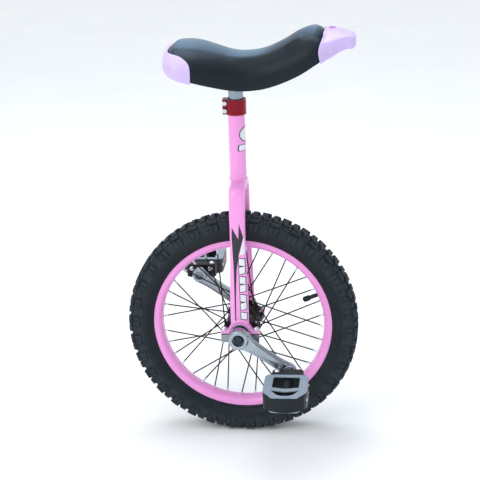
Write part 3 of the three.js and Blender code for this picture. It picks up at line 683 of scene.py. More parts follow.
def crank_piece(word, side):
    def add(name, verts, faces, slot="crank_alloy", material=M["crank"], smooth=40):
        return piece(f"{name}_{word}", on_crank(side, verts), faces, "wheel", slot, material, smooth=smooth)

    rings = []
    for x, w, out, back in smooth_stations(ARM_STATIONS, 40):
        rim = min(3.0, 0.25 * w)
        dish = 0.9 * min(1, max(0, (x - 20) / 10)) * min(1, max(0, (92 - x) / 8))
        # Across the arm: a raised edge on both sides of a shallow dish, then round the back.
        half = [(w, back + 2.4), (w, out + 2.6), (w - 0.9, out + 0.7), (w - 2.2, out),
                (w - rim - 0.8, out + 0.1), (w - rim - 2.2, out + dish)]
        section = [*[(-z, y) for z, y in half], *reversed(half), (w - 1.2, back + 0.7), (w - 3, back),
                   (3 - w, back), (1.2 - w, back + 0.7)]
        rings.append([(x, y, z) for z, y in section])
    made = add("crank_arm", *rings_mesh(rings))
    for tool in (rod(7.2, -90, -60, 48, (CRANK_LENGTH, 0, 0)), rod(10.3, -90, -76.9, 48)):
        boolean(made, (on_crank(side, tool[0]), tool[1]))
    shade(made, 35)
    add("crank_boss", *lathe([
        (17.5, -69), (17.5, -83.2), (17.1, -84.8), (16.0, -85.8), (14.6, -86), (11.4, -86), (10.6, -85.5),
        (10.4, -84.6), (10.4, -77.2), (7.0, -77.2), (7.0, -60.2), (14.6, -60.2), (15.5, -61), (16.6, -65),
    ], 72))
    add("crank_eye", *lathe([
        (12.6, -67.8), (12.6, -79.8), (12.1, -80.8), (11.0, -81.4), (8.4, -81.4), (7.5, -80.8), (7.3, -80),
        (7.3, -67.6), (8.2, -67), (11.6, -67), (12.3, -67.3),
    ], 48, (CRANK_LENGTH, 0, 0)))
    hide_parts(f"crank_{word}")
    head = lathe([(0, -83.0), (3.6, -83.0), (3.9, -83.3), (6.6, -83.2), (7.6, -82.6), (8.0, -81.8),
                  (8.0, -77.6), (0, -77.6)], 6, closed=False)
    washer = lathe([(3, -77.3), (9.6, -77.3), (9.6, -78.4), (9.2, -78.7), (3, -78.7)], 40)
    bolt = add("crank_bolt_head", *merged([head, washer]), "dark_steel", M["bolt_black"], 30)
    bevel(bolt, 0.35, 2)
    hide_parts(f"crank_bolt_{word}")


# ---- Pedals -------------------------------------------------------------------------------


def at_pedal(side, verts):
    """Points with y counted outwards from the wheel, about the spindle, onto either side."""
    points = np.array(verts, float)
    points[:, 1] *= side
    return points + (-side * CRANK_LENGTH * math.cos(CRANK_ANGLE), 0,
                     side * CRANK_LENGTH * math.sin(CRANK_ANGLE) + WHEEL_Z)


def both_ways(half):
    return [*half, *mirrored(half)]


def pedal_pieces(word, side):
    body = f"pedal_{word}"

    def add(name, mesh, slot, material, smooth=35, ride=body):
        return piece(f"{name}_{word}", at_pedal(side, mesh[0]), mesh[1], ride, slot, material, smooth=smooth)

    def cut(obj, *outlines, width, deep=20):
        for outline in outlines:
            tool = prism(outline, -deep, deep, "z")
            boolean(obj, (at_pedal(side, tool[0]), tool[1]))
        if width:
            finish_edges(obj, 35, width)

    # The black core: end blocks, two side rails and the barrel round the spindle.
    outline = both_ways([(21, 92.2), (26.4, 97), (27.2, 112), (33, 118.4), (36, 126), (36, 190), (32.4, 198),
                         (13.4, 206.6), (5, 209)])
    core = add("pedal_core", prism(rounded(outline, 1.6), -12.2, 12.2, "z"), "black_plastic", M["black"])
    window = rounded([(-23.5, 126), (23.5, 126), (23.5, 168), (0, 173.5), (-23.5, 168)], 3)
    lens = both_ways([(24.5, 175.5), (14, 194.5), (5, 199)]) + [(-12, 179), (0, 182), (12, 179)]
    cut(core, window, lens, width=0)
    pockets = [rect(x, x + 7, 130.6, 179.4) for x in (-40, 33)]
    cut(core, *pockets, width=0.9, deep=9.6)
    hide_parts(f"pedal_body_{word}")
    barrel = lathe([(5.2, 92.0), (9.6, 92.0), (10.2, 92.8), (10.2, 118), (9.4, 124), (8.8, 150), (8.8, 170),
                    (9.6, 186), (9.6, 203), (8.8, 204), (5.2, 204)], 48)
    add("pedal_barrel", barrel, "black_plastic", M["black"])
    cap = lathe([(0, 208.6), (4.6, 208.6), (5.6, 208.0), (6.4, 206.6), (6.4, 203), (0, 203)], 36,
                closed=False)
    add("pedal_dust_cap", cap, "black_plastic", M["black"])

    # The grey plates that the foot stands on.
    rim = both_ways([(32.2, 118.2), (37, 126), (37, 180), (33.5, 188.5), (21, 204.6), (5, 206)])
    window = rounded([(-22.5, 127), (22.5, 127), (22.5, 167), (0, 172), (-22.5, 167)], 2.2)
    lens = both_ways([(24.6, 176.5), (13.5, 194), (5, 198)]) + [(-12, 180.4), (0, 183.4), (12, 180.4)]
    for place, low, high in (("upper", 12.3, 14.0), ("lower", -14.0, -12.3)):
        mesh = prism(rounded(rim, 1.4), low, high, "z")
        plate = add(f"pedal_plate_{place}", mesh, "crank_alloy", M["grey"], 40)
        cut(plate, window, rounded(lens, 1.6, 3), width=0.8)

    # Rivets at the inner end, and at each end of the reflectors.
    rivet, faces = lathe([(0, 92.6), (4.4, 92.6), (4.2, 91.4), (3.2, 90.4), (1.6, 89.8), (0, 89.6)], 24,
                         closed=False)
    domes = [(np.array(rivet) + (x, 0, 4.5), faces) for x in (-16.6, 16.6)]
    domes.append(lathe([(0, 12), (4.7, 12), (4.6, 13.2), (3.7, 14.6), (2.0, 15.6), (0, 15.9)], 28,
                       (side * 19.0, 101.5, 0), "z", closed=False))
    add("pedal_rivets", merged(domes), "bolt_steel", M["bright"], 60)

    for place, end in (("front", 1), ("rear", -1)):
        outline = rounded(rect(131.4, 178.6, -9.1, 9.1), 1.6)
        rings = [[(x, y, z) for y, z in outline] for x in sorted((end * 33.8, end * 36.6))]
        glass = add(f"pedal_lens_{place}", rings_mesh(rings), "reflector", M["reflector"])
        bevel(glass, 0.5)
        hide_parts(f"pedal_reflector_{word}_{place}")
        studs = []
        for y in (127.6, 182.4):
            stud = lathe([(0, 0), (2.4, 0), (2.2, 0.9), (1.2, 1.5), (0, 1.7)], 20, axis="x", closed=False)
            points = np.array(stud[0])
            points[:, 0] = end * (35.9 + points[:, 0])
            studs.append((points + (0, y, 0), stud[1]))
        add(f"pedal_studs_{place}", merged(studs), "bolt_steel", M["bright"], 60)

    spindle = lathe([
        (0, 72.5), (3.6, 72.5), (3.9, 70.6), (6.2, 70.6), (6.9, 71.2), (6.9, 81.2), (8.4, 81.4), (9, 82),
        (9, 87.2), (8.6, 88), (6.5, 90), (5, 91.5), (5, 197.6), (4.6, 198), (0, 198),
    ], 40, closed=False)
    made = add("spindle", spindle, "zinc_steel", M["zinc"], ride="wheel")
    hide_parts(f"pedal_spindle_{word}")


# ---- Fork, bearings and caps --------------------------------------------------------------

# Height, distance from the middle, half width in x, half thickness.
LEG_STATIONS = [
    (463, 3, 12.4, 8.8), (462, 12, 13.2, 9.0), (460.5, 20, 13.6, 9.0), (458.5, 27, 13.8, 9.0),
    (453.5, 33.8, 13.9, 8.8), (445, 37.4, 13.9, 8.3), (432, 38.6, 13.9, 7.9), (415, 39.2, 13.9, 7.7),
    (385, 41.0, 13.7, 7.5), (350, 43.2, 13.8, 7.4),
    (322, 44.9, 14.4, 7.35), (300, 46.3, 15.2, 7.3), (275, 47.9, 15.8, 7.2), (255, 49.2, 16.0, 7.2),
    (238, 49.9, 16.0, 7.0), (222, 50, 16.0, 6.8),
]


def leg_mesh(side):
    rows = smooth_stations(LEG_STATIONS, 66)
    centres = np.stack([np.zeros(len(rows)), side * rows[:, 1], rows[:, 0]], 1)
    tangents = np.gradient(centres, axis=0)
    tangents /= np.linalg.norm(tangents, axis=1, keepdims=True)
    rings = []
    for row, centre, tangent in zip(rows, centres, tangents):
        across = np.cross((1, 0, 0), tangent)
        ring = []
        for angle in np.linspace(0, 2 * math.pi, 40, endpoint=False):
            c, s = math.cos(angle), math.sin(angle)
            # A flattened tube is squarer than an ellipse.
            u = math.copysign(abs(c) ** 0.82, c) * row[2]
            v = math.copysign(abs(s) ** 0.82, s) * row[3]
            ring.append(centre + np.array([u, 0, 0]) + across * v)
        rings.append(ring)
    return rings_mesh(rings)


def holder_outline():
    bore = arc(BEARING_RADIUS + 0.3, 0.03, math.pi - 0.03, 28)[::-1]
    crest = arc(22.4, 0.82, math.pi - 0.82, 16)
    right = [(34.5, 0.6), (34.5, 4.4), (32.8, 5.9), (27, 5.6), (22.4, 6.8), (19.4, 10.4), (17.4, 14.2)]
    return np.array([*right, *crest, *mirrored(right), *bore]) + (0, WHEEL_Z)


def fork_piece():
    parts = [lathe([(14.3, 452), (14.3, NECK_TOP - 0.6), (13.9, NECK_TOP), (13.1, NECK_TOP), (13.1, 452)],
                   72, axis="z")]
    for side in SIDES.values():
        y = side * BEARING_Y
        parts += [leg_mesh(side), prism(holder_outline(), y - 7, y + 7)]
    # A bead where the legs meet the neck, and one where each leg meets its holder.
    ring = [(14.7 * math.cos(a), 14.5 * math.sin(a), 470 + 1.1 * math.cos(2 * a) + 0.3 * math.sin(19 * a))
            for a in np.linspace(0, 2 * math.pi, 120)]
    parts.append(sweep(ring, 1.7, 10))
    for side in SIDES.values():
        for out in (-1, 1):
            line = [(x, side * BEARING_Y + out * (7.0 - 0.0035 * x * x), WHEEL_Z + math.sqrt(24.2**2 - x * x))
                    for x in np.linspace(-15, 15, 24)]
            parts.append(sweep(line, 1.5, 8))
    made = piece("fork_shell", *merged(parts), "frame", "pink_paint", M["pink"])
    remesh(made, 1.0, 5)
    boolean(made, rod(13.05, 440, 640, 64, axis="z"))
    boolean(made, prism(rect(-24, -4, 572, 640), -1.5, 1.5))
    for side in SIDES.values():
        boolean(made, rod(BEARING_RADIUS + 0.25, -12, 12, 64, (0, side * BEARING_Y, WHEEL_Z)))
    outward(made.data)
    shade(made, 42)
    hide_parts("fork_frame")
    return made


def bearings():
    bore = arc(BEARING_RADIUS + 0.3, -0.03, 0.03 - math.pi, 28)[::-1]
    bottom = arc(22, -0.75, 0.75 - math.pi, 18)
    ear = [(33, -0.6), (33, -11.2), (31.4, -13.6), (28.6, -15), (21, -15.2), (17.6, -15)]
    outline = np.array([*ear, *bottom, *mirrored(ear), *bore]) + (0, WHEEL_Z)
    for word, side in SIDES.items():
        y = side * BEARING_Y
        centre = (0, y, WHEEL_Z)
        outer = lathe([(14.6, -5), (16.9, -5), (17.5, -4.4), (17.5, 4.4), (16.9, 5), (14.6, 5)], 72, centre)
        inner = lathe(rect(8.8, 11.2, -5, 5), 72, centre)
        races = piece(f"bearing_races_{word}", *merged([outer, inner]), "frame", "bolt_steel", M["bright"])
        bevel(races, 0.25, 2)
        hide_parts(f"bearing_{word}")
        seal = lathe([(11.3, -4.4), (12.4, -4.7), (14.5, -4.3), (14.5, 4.3), (12.4, 4.7), (11.3, 4.4)], 72,
                     centre)
        piece(f"bearing_seal_{word}", *seal, "frame", "tube_rubber", M["seal"])

        cap = piece(f"cap_{word}", *prism(outline, y - 7, y + 7), "frame", "zinc_steel", M["zinc"])
        for end in (-1, 1):
            boolean(cap, rod(3.3, -30, 0, 20, (end * EAR_BOLT_X, y, WHEEL_Z), "z"))
        finish_edges(cap, 35, 0.8)
        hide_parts(f"bearing_cap_{word}")
        for end, place in ((1, "front"), (-1, "rear")):
            at = (end * EAR_BOLT_X, y, WHEEL_Z)
            head = lathe([(0, -17.5), (2.9, -17.5), (2.9, 6.7), (5.4, 6.7), (5.5, 7.2), (5.4, 8.6),
                          (4.8, 10.1), (3.6, 11.3), (2.2, 11.9), (1.6, 11.9), (1.5, 10.2), (0, 10.2)], 32, at,
                         "z", closed=False)
            washer = lathe(rect(3.0, 6.6, 6.0, 6.9), 32, at, "z")
            bolt = piece(f"cap_bolt_dome_{word}_{place}", *merged([head, washer]), "frame", "bolt_steel",
                         M["bright"], smooth=45)
            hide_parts(f"cap_bolt_{word}_{place}")


# ---- Seat clamp and post ------------------------------------------------------------------


def clamp_pieces():
    ring = lathe(rect(14.6, 17.2, CLAMP_BOTTOM, CLAMP_TOP), 96, axis="z")
    made = piece("clamp_collar", *ring, "clamp", "red_alloy", M["red"])
    ears = prism(rounded(rect(-22.5, -12.2, -7.5, 7.5), 1.5), CLAMP_BOTTOM, CLAMP_TOP, "z")
    boolean(made, ears, "UNION")
    boolean(made, rod(14.6, 560, 640, 96, axis="z"))
    boolean(made, prism(rect(-30, -10, 560, 640), -1.5, 1.5))
    for z in CLAMP_BOLT_HEIGHTS:
        for radius, high in ((2.6, 20), (4.9, -5.6)):
            boolean(made, rod(radius, -20, high, 32, (CLAMP_BOLT_X, 0, z)))
    finish_edges(made, 35, 0.5)
    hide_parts("seat_clamp")
    for place, z in zip(("upper", "lower"), CLAMP_BOLT_HEIGHTS):
        head = lathe([(0, 9.2), (2.3, 9.2), (2.3, -6.2), (4.3, -6.2), (4.4, -6.6), (4.4, -9.6), (4.0, -10.6),
                      (2.9, -11.3), (2.2, -11.4), (2.0, -9.4), (0, -9.4)], 32, (CLAMP_BOLT_X, 0, z),
                     closed=False)
        bolt = piece(f"clamp_bolt_head_{place}", *head, "clamp", "bolt_steel", M["bright"], smooth=40)
        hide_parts(f"clamp_bolt_{place}")


def post_pieces():
    under, low = PLATE_Z - 4, PLATE_Z - 4.3
    corners = [(34, 18), (26, 26), (-26, 26), (-34, 18), (-34, -18), (-26, -26), (26, -26), (34, -18)]
    made = piece("post_plate", *prism(rounded(corners, 4), under, PLATE_Z - 0.05, "z"), "seat", "zinc_steel",
                 M["zinc"])
    for x, y in SADDLE_BOLTS:
        boolean(made, rod(3.4, 630, 660, 24, (x, y, 0), "z"))
    finish_edges(made, 35, 0.5, 2)
    tube = lathe([(12.7, 470.6), (12.7, 643), (11.2, 643), (11.2, 470.6), (11.5, 470), (12.4, 470)], 96,
                 axis="z")
    rows = [(12.7 + 2.6 * (1 - t) ** 2, under - 3.4 * t) for t in np.linspace(0, 1, 7)]
    fillet = lathe([*rows, (12.0, under - 3.4), (12.0, under)], 72, axis="z")
    shaft = piece("post_shaft", *merged([tube, fillet]), "seat", "post_steel", M["post"])
    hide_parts("seatpost")
    for i, (x, y) in enumerate(SADDLE_BOLTS):
        head = lathe([(0, -4.4), (5.4, -4.4), (6.1, -3.9), (6.2, -0.4), (5.9, 0), (0, 0)], 6, (x, y, low),
                     "z", closed=False)
        shank = rod(2.9, low - 0.5, 650.4, 20, (x, y, 0), "z")
        bolt = piece(f"saddle_bolt_head_{i + 1}", *merged([head, shank]), "seat", "zinc_steel", M["zinc"],
                     smooth=30)
        bevel(bolt, 0.3, 2)
        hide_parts(f"saddle_bolt_{i + 1}")


# ---- Saddle -------------------------------------------------------------------------------

# x, half width, height of the lower edge and of the crest, drop of the shoulders.
SADDLE_STATIONS = [
    (-104, 42, 679, 694, 4), (-101, 57, 671, 702, 4), (-93, 68, 662.5, 709, 4.5), (-80, 74, 657, 711, 5),
    (-60, 75, 651, 709, 4.5), (-34, 67, 643, 701.5, 4), (-5, 56, 635, 693, 3.5), (20, 51, 632.5, 691, 3.5),
    (50, 51, 635.5, 695, 3.5), (80, 54, 645, 708, 4.5), (110, 58, 659, 726.5, 6), (134, 58, 674, 734, 7),
    (150, 50, 684, 727, 7), (160, 36, 692, 717.5, 5),
]


def saddle_rows(count):
    """The stations, smoothed and spread evenly along the saddle."""
    rows = smooth_stations(SADDLE_STATIONS, 400)
    rows[:, 0] -= 0.1 * np.clip(-60 - rows[:, 0], 0, None)
    place = np.linspace(0, 1, count)
    length = np.concatenate([[0], np.cumsum(np.linalg.norm(np.diff(rows[:, [0, 1, 3]], axis=0), axis=1))])
    length /= length[-1]
    return np.stack([np.interp(place, length, rows[:, i]) for i in range(rows.shape[1])], 1)


# The side of a section up to the shoulder, as shares of the half width and of the height.
SADDLE_SIDE = [
    (0.955, 0.0), (0.97, 0.02), (0.985, 0.08), (0.997, 0.17), (1.0, 0.27), (0.99, 0.37), (0.965, 0.47),
    (0.92, 0.575), (0.86, 0.675), (0.78, 0.78), (0.7, 0.862), (0.62, 0.935), (0.575, 0.975), (0.53, 1.0),
]
# The top from the shoulder to the crest, as shares of the half width and of the drop.
SADDLE_TOP = [(0.45, 0.7), (0.34, 0.38), (0.22, 0.15), (0.11, 0.04)]


def saddle_section(w, low, crest, shoulder, grow=0.0):
    """Half of a section from its lower edge to its crest, as (y, z)."""
    w, low, crest = w + grow, low - min(grow, 1.5), crest + grow
    height = crest - shoulder - low
    side = [(share * w, low + up * height) for share, up in SADDLE_SIDE]
    return side + [(share * w, crest - down * shoulder) for share, down in SADDLE_TOP]


def loft_saddle(grow=0.0, stretch=1.0, drop=0.0):
    rings = []
    for x, w, low, crest, shoulder in saddle_rows(72):
        half = saddle_section(w, low, crest, shoulder, grow)
        if drop:
            half = [(half[0][0], half[0][1] - drop), *half]
        ring = [(0, half[0][1]), *half, (0, crest + grow), *mirrored(half)]
        rings.append([(x * stretch, y, z) for y, z in ring])
    return rings_mesh(rings)


def pan_height(low, crest, shoulder):
    return min(20, 0.5 * (crest - low - shoulder))


SWELL = 1.3  # how far the cloth step lifts the top of the cushion


def cushion_piece():
    rows = saddle_rows(76)
    rows[:, 3] -= SWELL

    def ring_at(row, inwards=0.0, scale=1.0):
        x, w, low, crest, shoulder = row
        half = saddle_section(w, low, crest, shoulder)
        lift = low + 1 + pan_height(low, crest, shoulder) + 1.4
        widths, heights = np.array(half[: len(SADDLE_SIDE)]).T
        wall = min(0.97 * w - 1.1, np.interp(lift, heights, widths) - 1.1)
        recess = [(0.3 * wall, lift), (0.6 * wall, lift), (0.92 * wall, lift), (wall, lift - 1.5),
                  (wall, 0.5 * (low + lift)), (min(wall, 0.935 * w), low + 0.8)]
        ring = [(0, lift), *recess, *half, (0, crest), *mirrored(half), *mirrored(recess)]
        middle = 0.5 * (lift + crest)
        return [(x + inwards, y * scale, middle + (z - middle) * scale) for y, z in ring]

    # The two ends are rounded off over the last few millimetres.
    ends = [math.sin(t) for t in np.linspace(0.25, 1.35, 5)]
    rings = [ring_at(rows[0], 3.4 * (1 - s), 0.35 + 0.65 * s) for s in ends]
    rings += [ring_at(row) for row in rows[1:-1]]
    rings += [ring_at(rows[-1], 3.4 * (s - 1), 0.35 + 0.65 * s) for s in reversed(ends)]
    made = piece("saddle_cushion", *rings_mesh(rings), "seat", "saddle_vinyl", M["vinyl"], smooth=180)
    inflate(made, len(rings[0]), SWELL)
    subdivide(made)
    apply_modifiers(made)
    made.data.shade_smooth()
    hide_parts("saddle_cover", "saddle_foam")


def corners_of(mesh):
    """A mesh's points, in metres."""
    points = np.zeros(len(mesh.vertices) * 3)
    mesh.vertices.foreach_get("co", points)
    return points.reshape(-1, 3)


HELD_POINTS = 10  # of each ring, from the middle of the recess over the lower lip
CLOTH_FRAMES = 20
CLOTH = {
    "quality": 6, "mass": 0.3, "use_pressure": True, "uniform_pressure_force": 4.0, "tension_stiffness": 12,
    "compression_stiffness": 12, "bending_stiffness": 2, "vertex_group_mass": "held",
}


def inflate(obj, per_ring, most):
    """Swells the cushion as cloth over its foam, by up to so many millimetres."""
    scene = bpy.context.scene
    before = corners_of(obj.data)
    held = obj.vertex_groups.new(name="held")
    for i in range(len(before)):
        place = i % per_ring
        if place < HELD_POINTS or place > per_ring - HELD_POINTS:
            held.add([i], 1.0, "REPLACE")
    cloth = obj.modifiers.new("cloth", "CLOTH")
    for key, value in CLOTH.items():
        setattr(cloth.settings, key, value)
    cloth.settings.effector_weights.gravity = 0
    cloth.point_cache.frame_start = 1
    cloth.point_cache.frame_end = CLOTH_FRAMES
    for number in range(1, CLOTH_FRAMES + 1):
        scene.frame_set(number)
    moved = corners_of(obj.evaluated_get(bpy.context.evaluated_depsgraph_get()).data) - before
    length = np.linalg.norm(moved, axis=1, keepdims=True)
    most *= MM
    eased = most * np.tanh(length / most)
    moved = np.where(length > 1e-9, moved / np.maximum(length, 1e-9) * eased, 0)
    obj.modifiers.clear()
    scene.frame_set(1)
    obj.data.vertices.foreach_set("co", (before + moved).ravel())
    obj.data.update()


def pan_piece():
    """The hard base: a tray with its rim down, ribs inside it and a boss over each bolt."""
    rows = saddle_rows(60)

    def tray(inset, down, top, stretch):
        rings = []
        for x, w, low, crest, shoulder in rows:
            w = w - 2.1 - inset
            base = low + 1
            height = pan_height(low, crest, shoulder) - top
            half = [(0.95 * w, base - down), (0.966 * w, base + 0.5 * height),
                    (0.966 * w, base + height - 1.6), (0.945 * w, base + height - 0.4),
                    (0.9 * w, base + height)]
            ring = [(0, base - down), *half, (0, base + height), *mirrored(half)]
            rings.append([(x * stretch, y, z) for y, z in ring])
        return rings_mesh(rings)

    made = piece("saddle_pan", *tray(0, 0, 0, 0.98), "seat", "black_plastic", M["black"])
    boolean(made, tray(3, 12, 3, 0.95))
    shade(made, 40)
    parts = [lathe([(3.5, 647), (6.6, 647), (7.0, 648), (7.6, 653), (3.5, 653)], 28, (x, y, 0), "z")
             for x, y in SADDLE_BOLTS]
    for x in (-62, -44, 50, 68, 88):
        w, low, crest, shoulder = (np.interp(x, rows[:, 0], rows[:, i]) for i in range(1, 5))
        top = low + pan_height(low, crest, shoulder)
        points, faces = prism(rect(-0.84 * w, 0.84 * w, top - 7, top), x - 1, x + 1)
        parts.append((np.array(points)[:, [1, 0, 2]], faces))
    piece("saddle_pan_ribs", *merged(parts), "seat", "black_plastic", M["black"])
    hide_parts("saddle_base")


HANDLE_STATIONS = [
    (148, 50, 680, 713, 728), (160, 46, 684.5, 714.5, 728.5), (172, 38.5, 691, 716.5, 727.5),
    (185, 31, 696, 718, 722.5), (195, 26, 696, 716.5, 718.5), (201, 20, 700, 710, 711.5),
]


def handle_mesh(wall=0.0, drop=0.0):
    rings = []
    for x, w, low, edge, ridge in smooth_stations(HANDLE_STATIONS, 26):
        w -= wall
        rise = ridge - edge
        half = [(0.9 * w, low - drop), (0.985 * w, low + 1.6), (w, low + 5), (w, edge - wall - 4.5),
                (0.975 * w, edge - wall - 1.6), (0.92 * w, edge - wall), (0.8 * w, edge - wall + 0.2 * rise),
                (0.5 * w, ridge - wall - 0.28 * rise), (0.22 * w, ridge - wall - 0.05 * rise)]
        ring = [(0, low - drop), *half, (0, ridge - wall), *mirrored(half)]
        rings.append([(x - wall, y, z) for y, z in ring])
    return rings_mesh(rings)


def bumpers():
    def add(name, stretch, view, *steps):
        """A shell round the saddle, cut to an outline seen from the side."""
        made = piece(name, *loft_saddle(2.9, stretch), "seat", "lilac_plastic", M["lilac"])
        for tool, operation in ((prism(view, -100, 100), "INTERSECT"), *steps):
            boolean(made, tool, operation)
        remesh(made, 0.9, 4)
        return made

    clearance = (loft_saddle(0.3, 1.003, 25), "DIFFERENCE")
    view = rounded([(-130, 640), (-66, 640), (-63.5, 668), (-66, 684), (-82, 694.5), (-97, 697),
                    (-130, 697)], 8, 8)
    rear = add("bumper_rear_shell", 1.05, view, clearance)
    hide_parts("rear_bumper")
    view = rounded([(158, 745), (156.5, 733), (147, 717), (141, 701), (143, 684), (149, 668), (230, 668),
                    (230, 745)], 8, 6)
    slot = prism(rounded(rect(158, 167.5, -9, 9), 2.5), 700, 760, "z")
    front = add("bumper_front_shell", 1.02, view, (handle_mesh(), "UNION"),
                (handle_mesh(3.5, 22), "DIFFERENCE"), clearance, (slot, "DIFFERENCE"))
    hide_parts("front_bumper")
    # The slot's floor is coloured darker than the shell as painted shade inside the recess.
    floor = prism(rounded(rect(156.5, 169.5, -11, 11), 2), 722.8, 724.6, "z")
    piece("bumper_slot_floor", *floor, "seat", "lilac_plastic", M["slot_shade"])
    bumper_screws(rear)


def surface_of(obj):
    """A piece's faces, to be found by rays."""
    work = bmesh.new()
    work.from_mesh(obj.data)
    tree = BVHTree.FromBMesh(work)
    work.free()
    return tree


def bumper_screws(rear):
    """Two pan head screws on the back of the rear bumper."""
    target = surface_of(rear)
    profile = [(0, 0.5), (0.9, 0.5), (1.1, 1.5), (2.4, 1.3), (3.2, 0.5), (3.2, -2.0), (0, -2.0)]
    verts, faces = lathe(profile, 24, axis="z", closed=False)
    heads = []
    for y in (-30, 30):
        hit, normal, _, _ = target.ray_cast(Vector((-150, y, 672)) * MM, Vector((1, 0, 0)))
        turn = np.array(normal.to_track_quat("Z", "Y").to_matrix())
        heads.append((np.array(verts) @ turn.T + np.array(hit) / MM, faces))
    piece("bumper_screws_rear", *merged(heads), "seat", "bolt_steel", M["bright"], smooth=50)


# ---- Decals -------------------------------------------------------------------------------


def filled(outline, step):
    """A 2-D outline filled with small triangles."""
    edge = []
    for a, b in zip(outline, np.roll(outline, -1, axis=0)):
        count = max(1, int(np.linalg.norm(b - a) / step))
        edge += [a + (b - a) * i / count for i in range(count)]
    spans = zip(np.min(edge, axis=0), np.max(edge, axis=0))
    across, up = (np.arange(low + step / 2, high, step) for low, high in spans)
    points = [Vector(p) for p in edge] + [Vector((u, v)) for u in across for v in up]
    rims = [(i, (i + 1) % len(edge)) for i in range(len(edge))]
    found = delaunay_2d_cdt(points, rims, [list(range(len(edge)))], 1, 1e-4)
    return np.array([tuple(p) for p in found[0]]), [tuple(f) for f in found[2]]


def thick(obj, depth):
    """Gives a film its thickness, inwards."""
    modifier = obj.modifiers.new("film", "SOLIDIFY")
    modifier.thickness = depth * MM
    modifier.offset = -1
    apply_modifiers(obj)


def leg_decal(name, outline, target, side, material, lift=0.35):
    """A film on the outer face of a leg; the outline is in x and z."""
    flat, faces = filled(np.asarray(outline, float), 1.2)
    verts = []
    for x, z in flat:
        hit, normal, _, _ = target.ray_cast(Vector((x, side * 120, z)) * MM, Vector((0, -side, 0)))
        verts.append(np.array(hit) / MM + np.array(normal) * lift)
    if side < 0:
        faces = [tuple(reversed(f)) for f in faces]
    made = piece(name, verts, faces, "frame", "pink_paint", material, smooth=180)
    face_out(made, Vector((0, side, 0)))
    thick(made, 0.5)


def neck_decal(name, outline, material, lift=0.18):
    """A film round the front of the neck; the outline is in distance round it and z."""
    flat, faces = filled(np.asarray(outline, float), 1.2)
    radius = NECK_RADIUS + lift
    verts = [(radius * math.cos(u / NECK_RADIUS), radius * math.sin(u / NECK_RADIUS), z) for u, z in flat]
    made = piece(name, verts, faces, "frame", "pink_paint", material, smooth=180)
    face_out(made, Vector((1, 0, 0)))
    thick(made, 0.35)


def face_out(obj, direction):
    """Turns every face of a film to look the same way."""
    mesh = obj.data
    if sum((p.normal.dot(direction) * p.area for p in mesh.polygons)) < 0:
        mesh.flip_normals()


def decals(fork):
    bpy.context.view_layer.update()
    target = surface_of(fork)
    flash = [(-9.1, 397), (1.8, 376.5), (3.4, 403.8), (9.9, 379.5), (1.9, 348.4), (-2.5, 321.7),
             (-4.9, 273.7), (-5.6, 229.3), (-7.3, 229.3), (-7.2, 273.7), (-7.5, 327.6), (-8.5, 354.3),
             (-9.6, 377.9)]
    wedge = [(11.6, 380.9), (2.6, 348.6), (12.4, 349.4)]
    for word, side in SIDES.items():
        def put(name, outline, material, lift=0.35):
            leg_decal(f"{name}_{word}", [(-side * x, z) for x, z in outline], target, side, material, lift)

        put("decal_flash", flash, M["decal_black"])
        put("decal_wedge", wedge, M["decal_white"])
        # Plain bars down the leg, each a light block on a dark one.
        for i in range(7):
            top = 344 - 16.2 * i
            left, right = 0.6 + 1.6 * i / 6, 12.6 + 1.4 * i / 6
            slope = 2.2 if i % 2 else -2.2
            bar = [(left, top), (right, top + slope), (right, top - 14.6 + slope), (left, top - 14.6)]
            put(f"decal_bar_{i + 1}", bar, M["decal_black"], 0.3)
            left, right, slope = left + 1.2, right - 1.1, 0.85 * slope
            block = [(left, top - 1.3), (right, top - 1.3 + slope), (right, top - 13.3 + slope),
                     (left, top - 13.3)]
            put(f"decal_block_{i + 1}", block, M["decal_white"], 0.5)
    badge = [(17.4 * math.cos(a), 550 + 14 * math.sin(a))
             for a in np.linspace(0, 2 * math.pi, 36, endpoint=False)]
    label = rounded([(-21, 521.6), (21, 521.6), (19.5, 533), (-19.5, 533)], 3)
    for name, shape, centre, inset in (("badge", badge, 550, 0.88), ("label", label, 527.3, 0.84)):
        shape = np.array(shape)
        middle = np.array([0, centre])
        neck_decal(f"neck_{name}_edge", shape, M["decal_black"])
        scale = np.array([1 - (1 - inset) * 14 / np.max(np.abs(shape[:, 0])), inset])
        neck_decal(f"neck_{name}_face", middle + (shape - middle) * scale, M["decal_white"], 0.3)
    bead = ((-0.6, -1.2), (0.3, -1.1), (0.55, 0), (0.3, 1.1), (-0.6, 1.2))
    band = lathe([(NECK_RADIUS + out, z) for out, z in bead], 72, (0, 0, 481), "z")
    piece("neck_weld_band", *band, "frame", "pink_paint", M["pink"])


# ---- The CAD pieces that are shown as they are ----------------------------------------------


def dress_cad_nodes():
    for name, material in (("axle", "zinc"), ("rim_tape", "tube")):
        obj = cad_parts[name]
        obj.data.materials.clear()
        obj.data.materials.append(M[material])
        bevel(obj, 0.3, 2, 40)


# ---- Studio -------------------------------------------------------------------------------


def floor_piece():
    s = Surface("studio_paper", rough=0.85, specular=0.1)
    s.colour(s.ramp(s.noise(3, 4), (0.3, (0.93, 0.935, 0.94)), (0.7, (0.96, 0.965, 0.97))))
    s.bump(s.noise(120, 3), 0.2, 0.1)
    mesh = bpy.data.meshes.new("studio_floor")
    mesh.from_pydata([(x, y, 0) for x, y in rect(-12.0, 12.0, -12.0, 12.0)], [], [(0, 1, 2, 3)])
    mesh.materials.append(s.material)
    placed("studio_floor", mesh)


def area_light(name, place, target, size, power, colour):
    light = bpy.data.lights.new(name, "AREA")
    light.shape = "RECTANGLE"
    light.size, light.size_y = size
    light.energy = power
    light.color = colour
    obj = placed(name, light)
    obj.location = place
    obj.rotation_euler = (Vector(target) - Vector(place)).to_track_quat("-Z", "Y").to_euler()


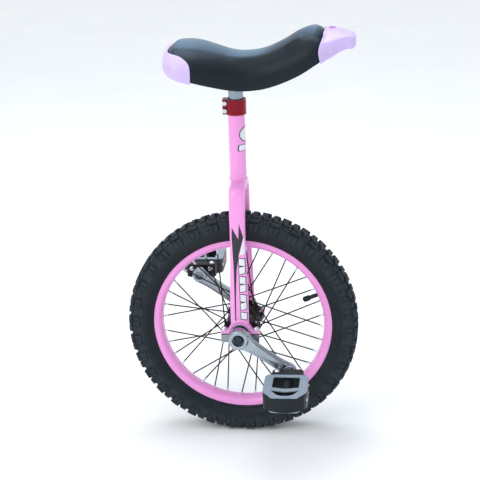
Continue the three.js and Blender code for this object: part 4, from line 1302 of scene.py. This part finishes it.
def studio():
    world = bpy.data.worlds.new("studio")
    bpy.context.scene.world = world
    world.use_nodes = True
    nodes, links = world.node_tree.nodes, world.node_tree.links
    place = nodes.new("ShaderNodeTexCoord")
    split = nodes.new("ShaderNodeSeparateXYZ")
    ramp = nodes.new("ShaderNodeValToRGB")
    stops = ((0.22, (0.97, 0.985, 1, 1)), (0.5, (0.56, 0.6, 0.64, 1)))
    for element, (position, colour) in zip(ramp.color_ramp.elements, stops):
        element.position, element.color = position, colour
    links.new(place.outputs["Generated"], split.inputs["Vector"])
    links.new(split.outputs["Z"], ramp.inputs["Fac"])
    links.new(ramp.outputs["Color"], nodes["Background"].inputs["Color"])
    middle = (0, 0, 0.4)
    area_light("overhead", (0.0, 0.5, 2.6), middle, (2.4, 1.6), 27, (0.88, 0.95, 1.0))
    area_light("key", (-1.5, -2.0, 2.0), middle, (1.2, 1.2), 17, (1.0, 0.99, 0.97))
    sky = bpy.data.lights.new("skylight", "SUN")
    sky.energy = 0.88
    sky.angle = math.radians(70)
    placed("skylight", sky).rotation_euler = (math.radians(12), math.radians(-14), 0)
    view = bpy.context.scene.view_settings
    view.view_transform, view.look = "Standard", "None"


def camera():
    data = bpy.data.cameras.new("camera")
    data.lens = 96.25
    data.sensor_width = 36
    obj = placed("camera", data)
    place, aim = Vector((0.2455, -2.0893, 1.1068)), Vector((-0.00103, 0, 0.35807))
    roll = math.radians(-1.945)
    turned = (aim - place).to_track_quat("-Z", "Y").to_matrix() @ Matrix.Rotation(roll, 3, "Z")
    obj.matrix_world = Matrix.Translation(place) @ turned.to_4x4()
    bpy.context.scene.camera = obj


# ---- The unicycle --------------------------------------------------------------------------

tyre_piece()
tube_piece()
rim_piece()
spokes()
hub_piece()
for side_word, side_sign in SIDES.items():
    crank_piece(side_word, side_sign)
    pedal_pieces(side_word, side_sign)
decals(fork_piece())
bearings()
clamp_pieces()
post_pieces()
pan_piece()
cushion_piece()
bumpers()
dress_cad_nodes()
floor_piece()
studio()
camera()
